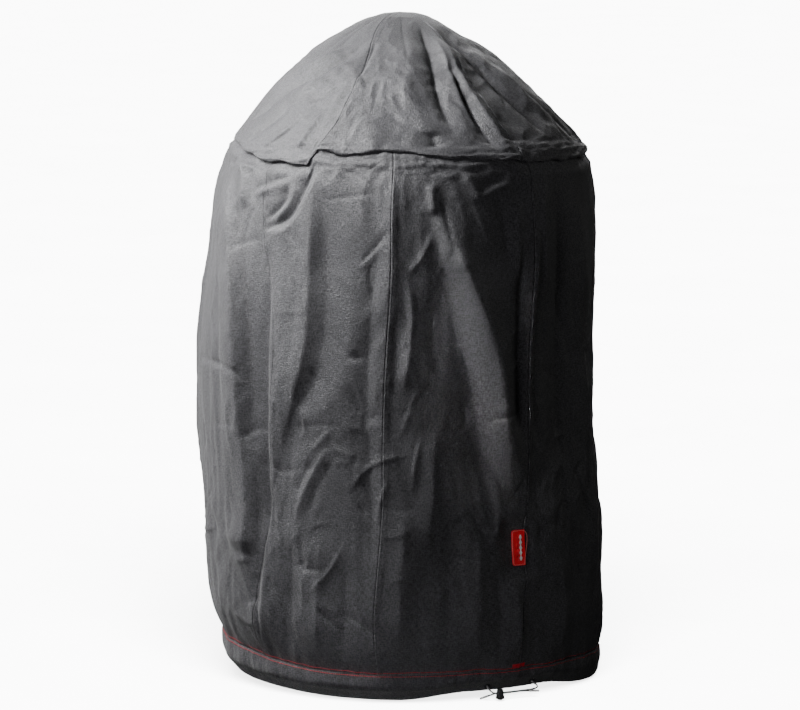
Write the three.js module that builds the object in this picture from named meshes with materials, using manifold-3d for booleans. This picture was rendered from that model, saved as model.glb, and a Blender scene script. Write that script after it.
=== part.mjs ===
// A fabric cover for a round kettle or kamado grill: a crown of five sewn gores on a skirt of eight
// sewn panels, with a drawcord hem, a spring cord lock and a side label.
// Millimetres, +Z up. The origin is the seat inside the top of the crown, where the grill's lid holds it.
// Angles are in degrees about Z, counted from the front (-Y) towards the right (+X).
import * as THREE from "three";
import { mergeVertices } from "three/addons/utils/BufferGeometryUtils.js";
import Module from "manifold-3d";

const wasm = await Module();
wasm.setup();

// Driving dimensions. Heights are above the lowest edge of the hem.
const HEIGHT = 1090;
const CLOTH = 1.5;
const SEAM_GAP = 0.4;
const SHOULDER_Z = 877;
const HEM_SEAM_Z = 48;
const SHOULDER_RADIUS = 283;
const HEM_RADIUS = 302;

const SKIRT_PANELS = 8;
const SKIRT_SEAM_ANGLE = -52.5;
const SKIRT_COLUMNS = 4;
const CROWN_GORES = 5;
const CROWN_SEAM_ANGLE = -30.5;
const GORE_COLUMNS = 6;

// Outer outlines as [radius, height], from the bottom up.
const SKIRT_OUTLINE = [
  [HEM_RADIUS, HEM_SEAM_Z], [315, 100], [323, 190], [323, 300], [322, 420], [321, 560],
  [315, 700], [308, 790], [295, 852], [SHOULDER_RADIUS, SHOULDER_Z - SEAM_GAP],
];
const APEX_FLAT_RADIUS = 24;
const CROWN_OUTLINE = [
  [SHOULDER_RADIUS, SHOULDER_Z + SEAM_GAP], [270, 899], [242, 932], [204, 972], [158, 1012],
  [97, 1053], [60, 1073], [APEX_FLAT_RADIUS, HEIGHT], [1, HEIGHT],
];

// The draped cover isn't upright: its middle stands this far to the right of the apex, as [height, shift].
const LEAN = [
  [0, 20], [HEM_SEAM_Z, 20], [100, 13], [190, 5], [300, 1], [420, -8], [560, -10], [700, 2], [790, 6],
  [SHOULDER_Z, 11], [932, 5], [1012, -1], [1053, -3], [HEIGHT, 0],
];

// The hem is carried higher on the left, and the drawcord tucks it up where its ends come out.
const LEFT_LIFT = { height: 26, angle: -92, spread: 72, fadeTop: 420 };
const CORD_TUCK = { height: 12, angle: 33, plateau: 14, spread: 24 };

const PATCH = { radius: 60, thickness: 1.5, drop: 19, gap: 0.5 };
const TAPE = { width: 14, thickness: 0.8, clearance: 1.1, foot: 62, head: 850 };
const BINDING = { radius: 279, thickness: 1, top: SHOULDER_Z - 2, height: 12 };
const STITCH = { thickness: 0.8, standoff: 0.4, upper: HEM_SEAM_Z + 4, lower: HEM_SEAM_Z - 4 };

const CASING_SEGMENTS = 64;
const CASING_RADIUS = 303.5;
const CASING_SLOPE = [[281, 2], [303, 27]];
const CASING_OUTLINE = [
  [298, HEM_SEAM_Z - 1], [273, 14], [265, 3], [267, 0], [277, 0], ...CASING_SLOPE,
  [CASING_RADIUS, 37], [HEM_RADIUS, HEM_SEAM_Z - 1],
];
const TUNNEL_OUTLINE = [
  [275.5, 12], [272, 4], [280, 5], [300, 28], [300.5, 33], [299.5, 38],
];
// The middle of the sloping underside of the casing, where the eyelets sit.
const EYELET = {
  leftAngle: 24.2, rightAngle: 41.075, radius: 290.9, height: 15.75,
  hole: 1.9, barrel: 3.2, flange: 5.2, flangeThickness: 0.8, innerFlange: 4.4, span: 4.9,
};
const EYELET_CUT = { clearance: 0.4, length: 12 };
const ROUND_SEGMENTS = 24;

const CORD_RADIUS = 1.3;
const TUNNEL_CORD = { radius: 289, height: 21, steps: 80, endGap: 2 };

// The cord lock hangs beside the hem. Its own frame has X along the hem, -Y outwards.
const LOCK_FRAME_ANGLE = 31.8;
const LOCK = {
  along: -20.5, radius: 300, baseZ: 1.2, strandZ: 9, strandSpacing: 1.45,
  boreRadius: 3.95, boreTop: 15, slotWidth: 5.9, slotHeight: 3.2, slotCorner: 0.8, slotCut: 20,
};
const PLUNGER = { radius: 3.6, bottom: -1.8, top: 11.7, slotBottom: 5.9, slotTop: 10.5 };
const SPRING = { radius: 2.5, wire: 0.2, bottom: 12.1, top: 14.6, turns: 2.5 };
const TIP = { radius: 1.7, length: 18, gap: 0.3, noseRadius: 1.02, noseLength: 1 };

const LABEL = {
  width: 24, height: 58, thickness: 1.2, corner: 5, standoff: 0.4, edge: 0.5, centreZ: 246,
};
const MARK = {
  diamonds: 5, pitch: 8.4, halfWidth: 2.6, waist: 0.6, thickness: 0.4, inset: 8.5, standoff: 0.3,
};
const BARTACK = { width: 24, height: 5, thickness: 0.8, aboveSeam: 8, standoff: 1.2 };

const CLOTH_LOOK = { color: 0x3a3a3d, roughness: 0.82, metalness: 0 };
const LINING_LOOK = { color: 0x202022, roughness: 0.6, metalness: 0 };
const THREAD_LOOK = { color: 0x9c1f2b, roughness: 0.75, metalness: 0 };
const CORD_LOOK = { color: 0x1b1b1c, roughness: 0.85, metalness: 0 };
const PLASTIC_LOOK = { color: 0x141415, roughness: 0.4, metalness: 0 };
const EYELET_LOOK = { color: 0x18181a, roughness: 0.35, metalness: 0.8 };
const STEEL_LOOK = { color: 0x9a9a9c, roughness: 0.3, metalness: 1 };
const LABEL_LOOK = { color: 0xc01d24, roughness: 0.45, metalness: 0 };
const MARK_LOOK = { color: 0xf2eeea, roughness: 0.5, metalness: 0 };
const TIP_LOOK = { color: 0x8d8d90, roughness: 0.3, metalness: 0 };

const radians = THREE.MathUtils.degToRad;
const cover = new THREE.Group();
const body = new THREE.Group();

function addMesh(parent, name, geometry, look) {
  const clean = geometry.clone();
  clean.deleteAttribute("uv");
  clean.computeVertexNormals();
  const mesh = new THREE.Mesh(clean, new THREE.MeshStandardMaterial(look));
  mesh.name = name;
  parent.add(mesh);
  return mesh;
}

// A group whose X runs along the hem and whose -Y points outwards at that angle.
function station(angle) {
  const group = new THREE.Group();
  group.rotation.z = radians(angle);
  body.add(group);
  return group;
}

// 1 across the plateau, falling smoothly to 0 over one spread on either side.
function bump(angle, middle, plateau, spread) {
  const away = (Math.abs(((angle - middle + 540) % 360) - 180) - plateau) / spread;
  return (Math.cos(Math.PI * THREE.MathUtils.clamp(away, 0, 1)) + 1) / 2;
}

function leftLift(angle, z) {
  const fade = THREE.MathUtils.clamp(
    (LEFT_LIFT.fadeTop - z) / (LEFT_LIFT.fadeTop - HEM_SEAM_Z), 0, 1,
  );
  return LEFT_LIFT.height * bump(angle, LEFT_LIFT.angle, 0, LEFT_LIFT.spread) * fade;
}

function cordTuck(angle, z) {
  const share = THREE.MathUtils.clamp(1 - z / HEM_SEAM_Z, 0, 1);
  return CORD_TUCK.height * bump(angle, CORD_TUCK.angle, CORD_TUCK.plateau, CORD_TUCK.spread) * share;
}

function hemHeight(angle, z) {
  return z + leftLift(angle, z) + cordTuck(angle, z);
}

function polar(radius, angle, z) {
  return new THREE.Vector3(
    radius * Math.sin(radians(angle)), -radius * Math.cos(radians(angle)), z,
  );
}

// Moves a ring's points up or down with the hem.
function followHem(geometry) {
  const position = geometry.getAttribute("position");
  for (let i = 0; i < position.count; i++) {
    const angle = THREE.MathUtils.radToDeg(Math.atan2(position.getX(i), -position.getY(i)));
    position.setZ(i, hemHeight(angle, position.getZ(i)));
  }
  return geometry;
}

function asSolid(geometry) {
  const bare = geometry.clone();
  bare.deleteAttribute("normal");
  bare.deleteAttribute("uv");
  const merged = mergeVertices(bare, 1e-4);
  return new wasm.Manifold(new wasm.Mesh({
    numProp: 3,
    vertProperties: merged.getAttribute("position").array,
    triVerts: new Uint32Array(merged.index.array),
  }));
}

function asGeometry(solid) {
  const mesh = solid.getMesh();
  return new THREE.BufferGeometry()
    .setAttribute("position", new THREE.BufferAttribute(mesh.vertProperties, 3))
    .setIndex(new THREE.BufferAttribute(mesh.triVerts, 1));
}

function cut(geometry, ...tools) {
  let solid = asSolid(geometry);
  for (const tool of tools) solid = solid.subtract(asSolid(tool));
  return asGeometry(solid);
}

// The inner side of an outline, one cloth thickness in. End points move straight in, so edges stay level.
function innerOutline(outline, thickness) {
  return outline.map(([r, z], i) => {
    const [r0, z0] = outline[Math.max(i - 1, 0)];
    const [r1, z1] = outline[Math.min(i + 1, outline.length - 1)];
    const length = Math.hypot(r1 - r0, z1 - z0);
    const [outR, outZ] = [(z1 - z0) / length, -(r1 - r0) / length];
    if (i === 0) return [r - thickness / outR, z];
    return [Math.max(r - thickness * outR, r * 0.5), z - thickness * outZ];
  });
}

// A sheet wrapped about Z between two angles: a box bent so that its width follows the angle,
// its height the outline, and its depth the cloth's thickness.
function wrappedSheet(outline, fromAngle, toAngle, columns, place) {
  const inner = innerOutline(outline, CLOTH);
  const rows = outline.length - 1;
  const geometry = new THREE.BoxGeometry(1, 1, 1, columns, rows, 1);
  const position = geometry.getAttribute("position");
  for (let i = 0; i < position.count; i++) {
    const across = position.getX(i) + 0.5;
    const row = Math.round((position.getY(i) + 0.5) * rows);
    const [r, z] = (position.getZ(i) > 0 ? outline : inner)[row];
    const edge = THREE.MathUtils.radToDeg(Math.asin(Math.min(0.5, SEAM_GAP / 2 / r)));
    const angle = THREE.MathUtils.lerp(fromAngle + edge, toAngle - edge, across);
    const point = polar(r, angle, place(angle, z));
    position.setXYZ(i, point.x, point.y, point.z);
  }
  return geometry;
}

function ring(outline, segments, startAngle) {
  const points = [...outline, outline[0]].map(([r, z]) => new THREE.Vector2(r, z));
  return new THREE.LatheGeometry(points, segments, radians(startAngle)).rotateX(Math.PI / 2);
}

// A strip sewn over the inside of a seam. It follows the same outline as the cloth on both sides.
function seamTape(outline) {
  const face = innerOutline(outline, CLOTH + TAPE.clearance);
  const back = innerOutline(outline, CLOTH + TAPE.clearance + TAPE.thickness);
  const rows = outline.length - 1;
  const geometry = new THREE.BoxGeometry(1, 1, 1, 1, rows, 1);
  const position = geometry.getAttribute("position");
  for (let i = 0; i < position.count; i++) {
    const row = Math.round((position.getY(i) + 0.5) * rows);
    const [r, z] = (position.getZ(i) > 0 ? face : back)[row];
    position.setXYZ(i, position.getX(i) * TAPE.width, -r, z);
  }
  return geometry;
}

function outlineAt(outline, z) {
  const upper = outline.findIndex(([, height]) => height >= z);
  const [r0, z0] = outline[upper - 1];
  const [r1, z1] = outline[upper];
  return [THREE.MathUtils.lerp(r0, r1, (z - z0) / (z1 - z0)), z];
}

function roundedRectangle(width, height, radius) {
  const shape = new THREE.Shape();
  const [x, y] = [width / 2, height / 2];
  shape.moveTo(-x + radius, -y);
  shape.lineTo(x - radius, -y);
  shape.absarc(x - radius, -y + radius, radius, -Math.PI / 2, 0);
  shape.absarc(x - radius, y - radius, radius, 0, Math.PI / 2);
  shape.absarc(-x + radius, y - radius, radius, Math.PI / 2, Math.PI);
  shape.absarc(-x + radius, -y + radius, radius, Math.PI, Math.PI * 1.5);
  return shape;
}

function tube(points, radius, sides, steps) {
  const section = new THREE.Shape();
  for (let i = 0; i < sides; i++) {
    const turn = (2 * Math.PI * i) / sides;
    section[i ? "lineTo" : "moveTo"](radius * Math.cos(turn), radius * Math.sin(turn));
  }
  section.closePath();
  const path = new THREE.CatmullRomCurve3(points, false, "centripetal");
  return new THREE.ExtrudeGeometry(section, { steps, extrudePath: path, bevelEnabled: false });
}

function lathed(points, segments) {
  const outline = points.map(([r, z]) => new THREE.Vector2(r, z));
  return new THREE.LatheGeometry(outline, segments).rotateX(Math.PI / 2);
}

// Crown: five gores, with a reinforcement patch inside the apex that takes the weight.
const GORE_PLACES = ["front", "right", "back_right", "back_left", "left"];
const GORE_SPAN = 360 / CROWN_GORES;
GORE_PLACES.forEach((place, i) => {
  const from = CROWN_SEAM_ANGLE + GORE_SPAN * i;
  const sheet = wrappedSheet(CROWN_OUTLINE, from, from + GORE_SPAN, GORE_COLUMNS, (_, z) => z);
  addMesh(body, `crown_gore_${place}`, sheet, CLOTH_LOOK);
});

const patchTop = HEIGHT - CLOTH - PATCH.gap;
const patchFace = [[PATCH.radius, patchTop - PATCH.drop], [APEX_FLAT_RADIUS - 1, patchTop], [0, patchTop]];
const patchBack = patchFace.map(([r, z]) => [r, z - PATCH.thickness]).reverse();
const patch = new THREE.LatheGeometry(
  [...patchBack, ...patchFace].map(([r, z]) => new THREE.Vector2(r, z)),
  CROWN_GORES * GORE_COLUMNS, radians(CROWN_SEAM_ANGLE),
).rotateX(Math.PI / 2);
addMesh(body, "crown_patch", patch, LINING_LOOK);

// Skirt: eight panels from the shoulder down to the hem seam.
const PANEL_PLACES = [
  "front_left", "front_right", "right_front", "right_back",
  "back_right", "back_left", "left_back", "left_front",
];
const PANEL_SPAN = 360 / SKIRT_PANELS;
PANEL_PLACES.forEach((place, i) => {
  const from = SKIRT_SEAM_ANGLE + PANEL_SPAN * i;
  const sheet = wrappedSheet(SKIRT_OUTLINE, from, from + PANEL_SPAN, SKIRT_COLUMNS, hemHeight);
  addMesh(body, `skirt_panel_${place}`, sheet, CLOTH_LOOK);
});

// Waterproof tape over the inside of every upright seam, and a binding on the shoulder seam.
const crownTapeTop = CROWN_OUTLINE.slice(1, -3);
for (let i = 0; i < CROWN_GORES; i++) {
  const tapeStation = station(CROWN_SEAM_ANGLE + GORE_SPAN * i);
  addMesh(tapeStation, `crown_seam_tape_${i + 1}`, seamTape(crownTapeTop), LINING_LOOK);
}
for (let i = 0; i < SKIRT_PANELS; i++) {
  const angle = SKIRT_SEAM_ANGLE + PANEL_SPAN * i;
  const line = [
    outlineAt(SKIRT_OUTLINE, TAPE.foot),
    ...SKIRT_OUTLINE.filter(([, z]) => z > TAPE.foot && z < TAPE.head),
  ].map(([r, z]) => [r, hemHeight(angle, z)]);
  addMesh(station(angle), `skirt_seam_tape_${i + 1}`, seamTape(line), LINING_LOOK);
}
const bindingOutline = [
  [BINDING.radius, BINDING.top - BINDING.height], [BINDING.radius, BINDING.top],
  [BINDING.radius - BINDING.thickness, BINDING.top],
  [BINDING.radius - BINDING.thickness, BINDING.top - BINDING.height],
];
const CIRCLE_SEGMENTS = SKIRT_PANELS * SKIRT_COLUMNS;
addMesh(body, "shoulder_binding", ring(bindingOutline, CIRCLE_SEGMENTS, SKIRT_SEAM_ANGLE), LINING_LOOK);

// Two rows of red thread run round the hem, one on each side of the hem seam.
const CASING_START = EYELET.leftAngle + 180 / CASING_SEGMENTS;
function stitchRow(name, z, radius, segments, start) {
  const [inside, outside] = [radius + STITCH.standoff, radius + STITCH.standoff + STITCH.thickness];
  const [low, high] = [z - STITCH.thickness / 2, z + STITCH.thickness / 2];
  const outline = [[outside, low], [outside, high], [inside, high], [inside, low]];
  addMesh(body, name, followHem(ring(outline, segments, start)), THREAD_LOOK);
}
const [upperRadius] = outlineAt(SKIRT_OUTLINE, STITCH.upper);
stitchRow("hem_stitch_upper", STITCH.upper, upperRadius, CIRCLE_SEGMENTS, SKIRT_SEAM_ANGLE);
stitchRow("hem_stitch_lower", STITCH.lower, CASING_RADIUS, CASING_SEGMENTS, CASING_START);

// Hem casing: a folded tunnel for the drawcord, open at two eyelets.
function eyeletStation(angle) {
  const group = station(angle);
  const seat = new THREE.Group();
  const z = hemHeight(angle, EYELET.height);
  const [[innerRadius, innerZ], [outerRadius, outerZ]] = CASING_SLOPE;
  const rise = hemHeight(angle, outerZ) - hemHeight(angle, innerZ);
  const slope = Math.atan2(rise, outerRadius - innerRadius);
  seat.position.set(0, -EYELET.radius, z);
  seat.rotation.x = Math.PI / 2 + (Math.PI / 2 - slope);
  group.add(seat);
  return seat;
}
const cutRadius = EYELET.barrel + EYELET_CUT.clearance;
const eyeletHole = new THREE.CylinderGeometry(
  cutRadius, cutRadius, EYELET_CUT.length, ROUND_SEGMENTS,
).rotateX(Math.PI / 2);
const [leftSeat, rightSeat] = [eyeletStation(EYELET.leftAngle), eyeletStation(EYELET.rightAngle)];
body.updateMatrixWorld(true);
const holeAt = (seat) => eyeletHole.clone().applyMatrix4(seat.matrixWorld);
const casing = cut(
  followHem(ring(CASING_OUTLINE, CASING_SEGMENTS, CASING_START)),
  followHem(ring(TUNNEL_OUTLINE, CASING_SEGMENTS, CASING_START)),
  holeAt(leftSeat), holeAt(rightSeat),
);
addMesh(body, "hem_casing", casing, CLOTH_LOOK);

const half = EYELET.span / 2;
const shoulder = half - EYELET.flangeThickness;
const eyeletOutline = [
  [EYELET.hole, -half], [EYELET.innerFlange, -half], [EYELET.innerFlange, -shoulder],
  [EYELET.barrel, -shoulder], [EYELET.barrel, shoulder],
  [EYELET.flange, shoulder], [EYELET.flange, half], [EYELET.hole, half],
];
addMesh(leftSeat, "eyelet_left", ring(eyeletOutline, ROUND_SEGMENTS, 0), EYELET_LOOK);
addMesh(rightSeat, "eyelet_right", ring(eyeletOutline, ROUND_SEGMENTS, 0), EYELET_LOOK);

// The drawcord runs the long way round inside the tunnel, from one eyelet to the other.
const endAngle = THREE.MathUtils.radToDeg(TUNNEL_CORD.endGap / TUNNEL_CORD.radius);
const [cordFrom, cordTo] = [EYELET.rightAngle + endAngle, EYELET.leftAngle + 360 - endAngle];
const tunnelRoute = [];
for (let i = 0; i <= TUNNEL_CORD.steps; i++) {
  const angle = THREE.MathUtils.lerp(cordFrom, cordTo, i / TUNNEL_CORD.steps);
  tunnelRoute.push(polar(TUNNEL_CORD.radius, angle, hemHeight(angle, TUNNEL_CORD.height)));
}
addMesh(body, "drawcord_in_hem", tube(tunnelRoute, CORD_RADIUS, 8, TUNNEL_CORD.steps), CORD_LOOK);

// The two free ends, in the cord lock's frame: each leaves its eyelet, passes through the lock
// and ends in a tip.
const strandZ = LOCK.baseZ + LOCK.strandZ;
const [frontRun, rearRun] = [-LOCK.radius - LOCK.strandSpacing, -LOCK.radius + LOCK.strandSpacing];
const leftEndRoute = [
  [-38.2, -286.2, 26.2], [-38.5, -288.3, 23.8], [-38.8, -290.7, 21], [-38, -294.2, 17],
  [-35.4, -297.8, 13.6], [-31.6, -300.5, 11.1], [-27.5, frontRun, strandZ], [-22, frontRun, strandZ],
  [-14, frontRun, strandZ], [-6, frontRun, strandZ], [2, frontRun, strandZ], [10, frontRun, strandZ],
  [17, frontRun, strandZ], [22, -301.9, 10], [27, -302.7, 9.7], [32, -303.6, 9.4],
];
const rightEndRoute = [
  [46.6, -285, 26.2], [46.9, -287.1, 23.8], [47.4, -289.6, 21], [49.4, -293.2, 18.4],
  [52, -296.4, 16.2], [51.8, -298.8, 13.6], [47.8, -299.4, 11.6], [42, -298.8, 10.6],
  [35, rearRun, strandZ], [25, rearRun, strandZ], [15, rearRun, strandZ], [5, rearRun, strandZ],
  [-5, rearRun, strandZ], [-15, rearRun, strandZ], [-24, rearRun, strandZ], [-29, rearRun, strandZ],
  [-32.5, -297.4, 9.3], [-35, -294.6, 7.6], [-36.4, -291.4, 6.2],
];
const asPoints = (route) => route.map(([x, y, z]) => new THREE.Vector3(x, y, z));
const lockStation = station(LOCK_FRAME_ANGLE);
addMesh(lockStation, "drawcord_left_end", tube(asPoints(leftEndRoute), CORD_RADIUS, 8, 30), CORD_LOOK);
addMesh(lockStation, "drawcord_right_end", tube(asPoints(rightEndRoute), CORD_RADIUS, 8, 36), CORD_LOOK);

// A sheath over a cut cord end, starting just past the last point of its route.
function cordTip(name, route) {
  const [before, end] = asPoints(route.slice(-2));
  const along = end.clone().sub(before).normalize();
  const outline = [
    [0, 0], [TIP.radius, 0], [TIP.radius, TIP.length - TIP.noseLength],
    [TIP.noseRadius, TIP.length], [0, TIP.length],
  ];
  const mesh = addMesh(lockStation, name, lathed(outline, 16), TIP_LOOK);
  mesh.position.copy(end).addScaledVector(along, TIP.gap);
  mesh.quaternion.setFromUnitVectors(new THREE.Vector3(0, 0, 1), along);
}
cordTip("cord_tip_left", leftEndRoute);
cordTip("cord_tip_right", rightEndRoute);

// Cord lock: a bell-shaped body, a plunger that pinches both strands, and the spring behind it.
const lock = new THREE.Group();
lock.position.set(LOCK.along, -LOCK.radius, LOCK.baseZ);
lockStation.add(lock);

function crossSlot(width, low, high, corner) {
  const shape = roundedRectangle(high - low, width, corner);
  return new THREE.ExtrudeGeometry(shape, { depth: LOCK.slotCut, bevelEnabled: false, curveSegments: 4 })
    .translate(0, 0, -LOCK.slotCut / 2)
    .rotateY(Math.PI / 2)
    .translate(0, 0, (low + high) / 2);
}
const bellOutline = [
  [0, 0], [6.4, 0], [7.1, 0.9], [7.2, 2.4], [6.5, 5], [5.8, 8], [5.4, 11], [5.1, 14], [4.4, 15.8],
  [3, 16.5], [0, 16.5],
];
const boreOutline = [[0, -1], [LOCK.boreRadius, -1], [LOCK.boreRadius, LOCK.boreTop], [0, LOCK.boreTop]];
const slotLow = LOCK.strandZ - LOCK.slotHeight / 2;
const lockBody = cut(
  lathed(bellOutline, 32),
  lathed(boreOutline, 32),
  crossSlot(LOCK.slotWidth, slotLow, slotLow + LOCK.slotHeight, LOCK.slotCorner),
);
addMesh(lock, "cord_lock_body", lockBody, PLASTIC_LOOK);

const plungerOutline = [
  [0, PLUNGER.bottom], [PLUNGER.radius - 0.6, PLUNGER.bottom], [PLUNGER.radius, PLUNGER.bottom + 0.6],
  [PLUNGER.radius, PLUNGER.top], [0, PLUNGER.top],
];
const plunger = cut(
  lathed(plungerOutline, 32),
  crossSlot(LOCK.slotWidth, PLUNGER.slotBottom, PLUNGER.slotTop, LOCK.slotCorner),
);
addMesh(lock, "cord_lock_plunger", plunger, PLASTIC_LOOK);

const springRoute = [];
const SPRING_STEPS = 30;
for (let i = 0; i <= SPRING_STEPS; i++) {
  const share = i / SPRING_STEPS;
  const turn = 2 * Math.PI * SPRING.turns * share;
  const z = THREE.MathUtils.lerp(SPRING.bottom, SPRING.top, share);
  springRoute.push(new THREE.Vector3(SPRING.radius * Math.cos(turn), SPRING.radius * Math.sin(turn), z));
}
addMesh(lock, "cord_lock_spring", tube(springRoute, SPRING.wire, 6, SPRING_STEPS * 2), STEEL_LOOK);

// Side label: a red tab sewn into the seam at the right of the front right panel, with a plain raised mark.
const FACET_SPAN = PANEL_SPAN / SKIRT_COLUMNS;
const labelSeamAngle = SKIRT_SEAM_ANGLE + PANEL_SPAN * 2;
const [labelWallRadius] = outlineAt(SKIRT_OUTLINE, LABEL.centreZ);
const halfFacet = radians(FACET_SPAN / 2);
const labelStation = station(labelSeamAngle - FACET_SPAN / 2);
const label = new THREE.Group();
label.position.set(
  labelWallRadius * Math.sin(halfFacet) - LABEL.edge - LABEL.width / 2,
  -labelWallRadius * Math.cos(halfFacet) - LABEL.standoff,
  LABEL.centreZ,
);
label.rotation.x = Math.PI / 2;
labelStation.add(label);

// Square on the sewn side, rounded on the free side.
const tab = new THREE.Shape();
const [labelX, labelY] = [LABEL.width / 2, LABEL.height / 2];
tab.moveTo(labelX, -labelY);
tab.lineTo(labelX, labelY);
tab.lineTo(-labelX + LABEL.corner, labelY);
tab.absarc(-labelX + LABEL.corner, labelY - LABEL.corner, LABEL.corner, Math.PI / 2, Math.PI);
tab.absarc(-labelX + LABEL.corner, -labelY + LABEL.corner, LABEL.corner, Math.PI, Math.PI * 1.5);
const tabGeometry = new THREE.ExtrudeGeometry(
  tab, { depth: LABEL.thickness, bevelEnabled: false, curveSegments: 6 },
);
addMesh(label, "label_tab", tabGeometry, LABEL_LOOK);

// A chain of small diamonds, joined at narrow waists.
const mark = new THREE.Shape();
const markSide = [];
for (let i = 0; i < MARK.diamonds; i++) {
  const low = (i - MARK.diamonds / 2) * MARK.pitch;
  markSide.push([MARK.waist, low], [MARK.halfWidth, low + MARK.pitch / 2]);
}
markSide.push([MARK.waist, (MARK.diamonds / 2) * MARK.pitch]);
markSide.forEach(([x, y], i) => mark[i ? "lineTo" : "moveTo"](x, y));
[...markSide].reverse().forEach(([x, y]) => mark.lineTo(-x, y));
const markMesh = addMesh(
  label, "label_mark",
  new THREE.ExtrudeGeometry(mark, { depth: MARK.thickness, bevelEnabled: false }), MARK_LOOK,
);
markMesh.position.set(labelX - MARK.inset, 0, LABEL.thickness + MARK.standoff);

// A dense red bartack locks the bottom of the label seam.
const bartackZ = HEM_SEAM_Z + BARTACK.aboveSeam;
const [bartackRadius] = outlineAt(SKIRT_OUTLINE, bartackZ);
const bartack = addMesh(
  station(labelSeamAngle), "hem_bartack",
  new THREE.BoxGeometry(BARTACK.width, BARTACK.thickness, BARTACK.height), THREAD_LOOK,
);
bartack.position.set(0, -bartackRadius - BARTACK.standoff, bartackZ);

// Every mesh is leaned, and the seat under the crown patch becomes the origin.
function leanAt(z) {
  const upper = LEAN.findIndex(([height]) => height >= z);
  if (upper < 1) return LEAN[0][1];
  const [[z0, shift0], [z1, shift1]] = [LEAN[upper - 1], LEAN[upper]];
  return THREE.MathUtils.mapLinear(z, z0, z1, shift0, shift1);
}
const meshes = [];
body.updateMatrixWorld(true);
body.traverse((node) => {
  if (node.isMesh) meshes.push(node);
});
for (const mesh of meshes) {
  mesh.geometry.applyMatrix4(mesh.matrixWorld);
  const position = mesh.geometry.getAttribute("position");
  for (let i = 0; i < position.count; i++) {
    position.setX(i, position.getX(i) + leanAt(position.getZ(i)));
  }
  mesh.geometry.computeVertexNormals();
  mesh.position.set(0, 0, -(patchTop - PATCH.thickness));
  mesh.quaternion.identity();
  cover.add(mesh);
}

export default cover;
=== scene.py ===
import math

import bpy
import numpy as np
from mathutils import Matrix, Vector


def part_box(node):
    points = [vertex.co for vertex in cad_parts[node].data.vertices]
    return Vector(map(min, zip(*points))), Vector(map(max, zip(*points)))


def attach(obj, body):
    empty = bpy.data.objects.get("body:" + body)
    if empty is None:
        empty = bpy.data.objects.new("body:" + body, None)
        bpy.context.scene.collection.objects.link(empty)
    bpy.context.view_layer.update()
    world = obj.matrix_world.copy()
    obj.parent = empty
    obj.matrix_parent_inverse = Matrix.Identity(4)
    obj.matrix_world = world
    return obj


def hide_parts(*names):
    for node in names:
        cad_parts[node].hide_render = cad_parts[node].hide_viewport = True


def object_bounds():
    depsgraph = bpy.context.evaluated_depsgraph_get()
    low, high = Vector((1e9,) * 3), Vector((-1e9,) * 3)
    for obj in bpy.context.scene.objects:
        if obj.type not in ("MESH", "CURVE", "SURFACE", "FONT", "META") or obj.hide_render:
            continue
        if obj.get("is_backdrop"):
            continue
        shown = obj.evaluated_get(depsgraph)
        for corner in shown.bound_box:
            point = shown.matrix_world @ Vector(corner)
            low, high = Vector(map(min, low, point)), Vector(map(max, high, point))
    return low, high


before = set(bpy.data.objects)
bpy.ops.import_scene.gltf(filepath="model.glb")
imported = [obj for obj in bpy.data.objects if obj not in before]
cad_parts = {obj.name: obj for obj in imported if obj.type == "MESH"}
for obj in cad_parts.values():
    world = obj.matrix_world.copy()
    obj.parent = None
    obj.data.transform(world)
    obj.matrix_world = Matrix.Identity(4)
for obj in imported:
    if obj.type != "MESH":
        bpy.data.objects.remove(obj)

# The looks of a sewn grill cover. Cloth is worked out in millimetres: heights are above the lowest edge
# of the hem, and angles are in degrees about the upright axis, from the front (-Y) towards the right (+X).
CAD_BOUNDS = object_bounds()
MM = 0.001
HEM_FOOT_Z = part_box("hem_casing")[0].z
APEX_HEIGHT = (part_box("crown_gore_front")[1].z - HEM_FOOT_Z) / MM

# Outline of the draped cloth as (radius, height), from the hem seam to the apex.
HEM_SEAM = 48.0
OUTLINE = [
    (302, HEM_SEAM), (307, 62), (316, 100), (323, 180), (325, 300), (323, 440), (321, 560), (316, 690),
    (307, 790), (297, 845), (285, 879), (270, 901), (238, 938), (201, 976), (155, 1016), (97, 1054),
    (56, 1075), (24, 1087), (0, APEX_HEIGHT),
]
OUTLINE_STEPS = 3000
# How far the middle of the draped cover stands to the right of the apex, as (height, shift).
LEAN = [
    (0, 20), (HEM_SEAM, 20), (100, 13), (190, 5), (300, 1), (420, -8), (530, -10.5), (620, -5),
    (700, 2), (790, 6), (877, 11), (932, 5), (1012, -1), (1053, -3), (APEX_HEIGHT, 0),
]
# The hem's rise at the left, of which its foot keeps a share, and its tuck at the cord.
LEFT_LIFT = {"height": 26, "angle": -92, "spread": 72, "fade_top": 420, "foot_share": 0.35}
CORD_TUCK = {"height": 12, "angle": 33, "plateau": 14, "spread": 24}
# The foot of the skirt stands out at its sides, less so at the right.
SIDE_FLARE = 9.0
RIGHT_FLARE_SHARE = 0.4
FLARE_TOP = 260.0

# Radii that turn an angle into a distance along the cloth.
HEM_GIRTH_RADIUS = 303.0
SKIRT_GIRTH_RADIUS = 315.0
SHOULDER_RADIUS = 290.0
CROWN_GIRTH_RADIUS = 200.0

CLOTH_THICKNESS = 1.0
SEAM_DEPTH = 1.2
GRID_STEP = 3.2

PANEL_PLACES = [
    "front_left", "front_right", "right_front", "right_back", "back_right", "back_left", "left_back",
    "left_front",
]
GORE_PLACES = ["front", "right", "back_right", "back_left", "left"]

SKIRT_SEAMS = len(PANEL_PLACES)
SKIRT_TURN = 360 / SKIRT_SEAMS
FIRST_SKIRT_SEAM = -52.5
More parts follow.
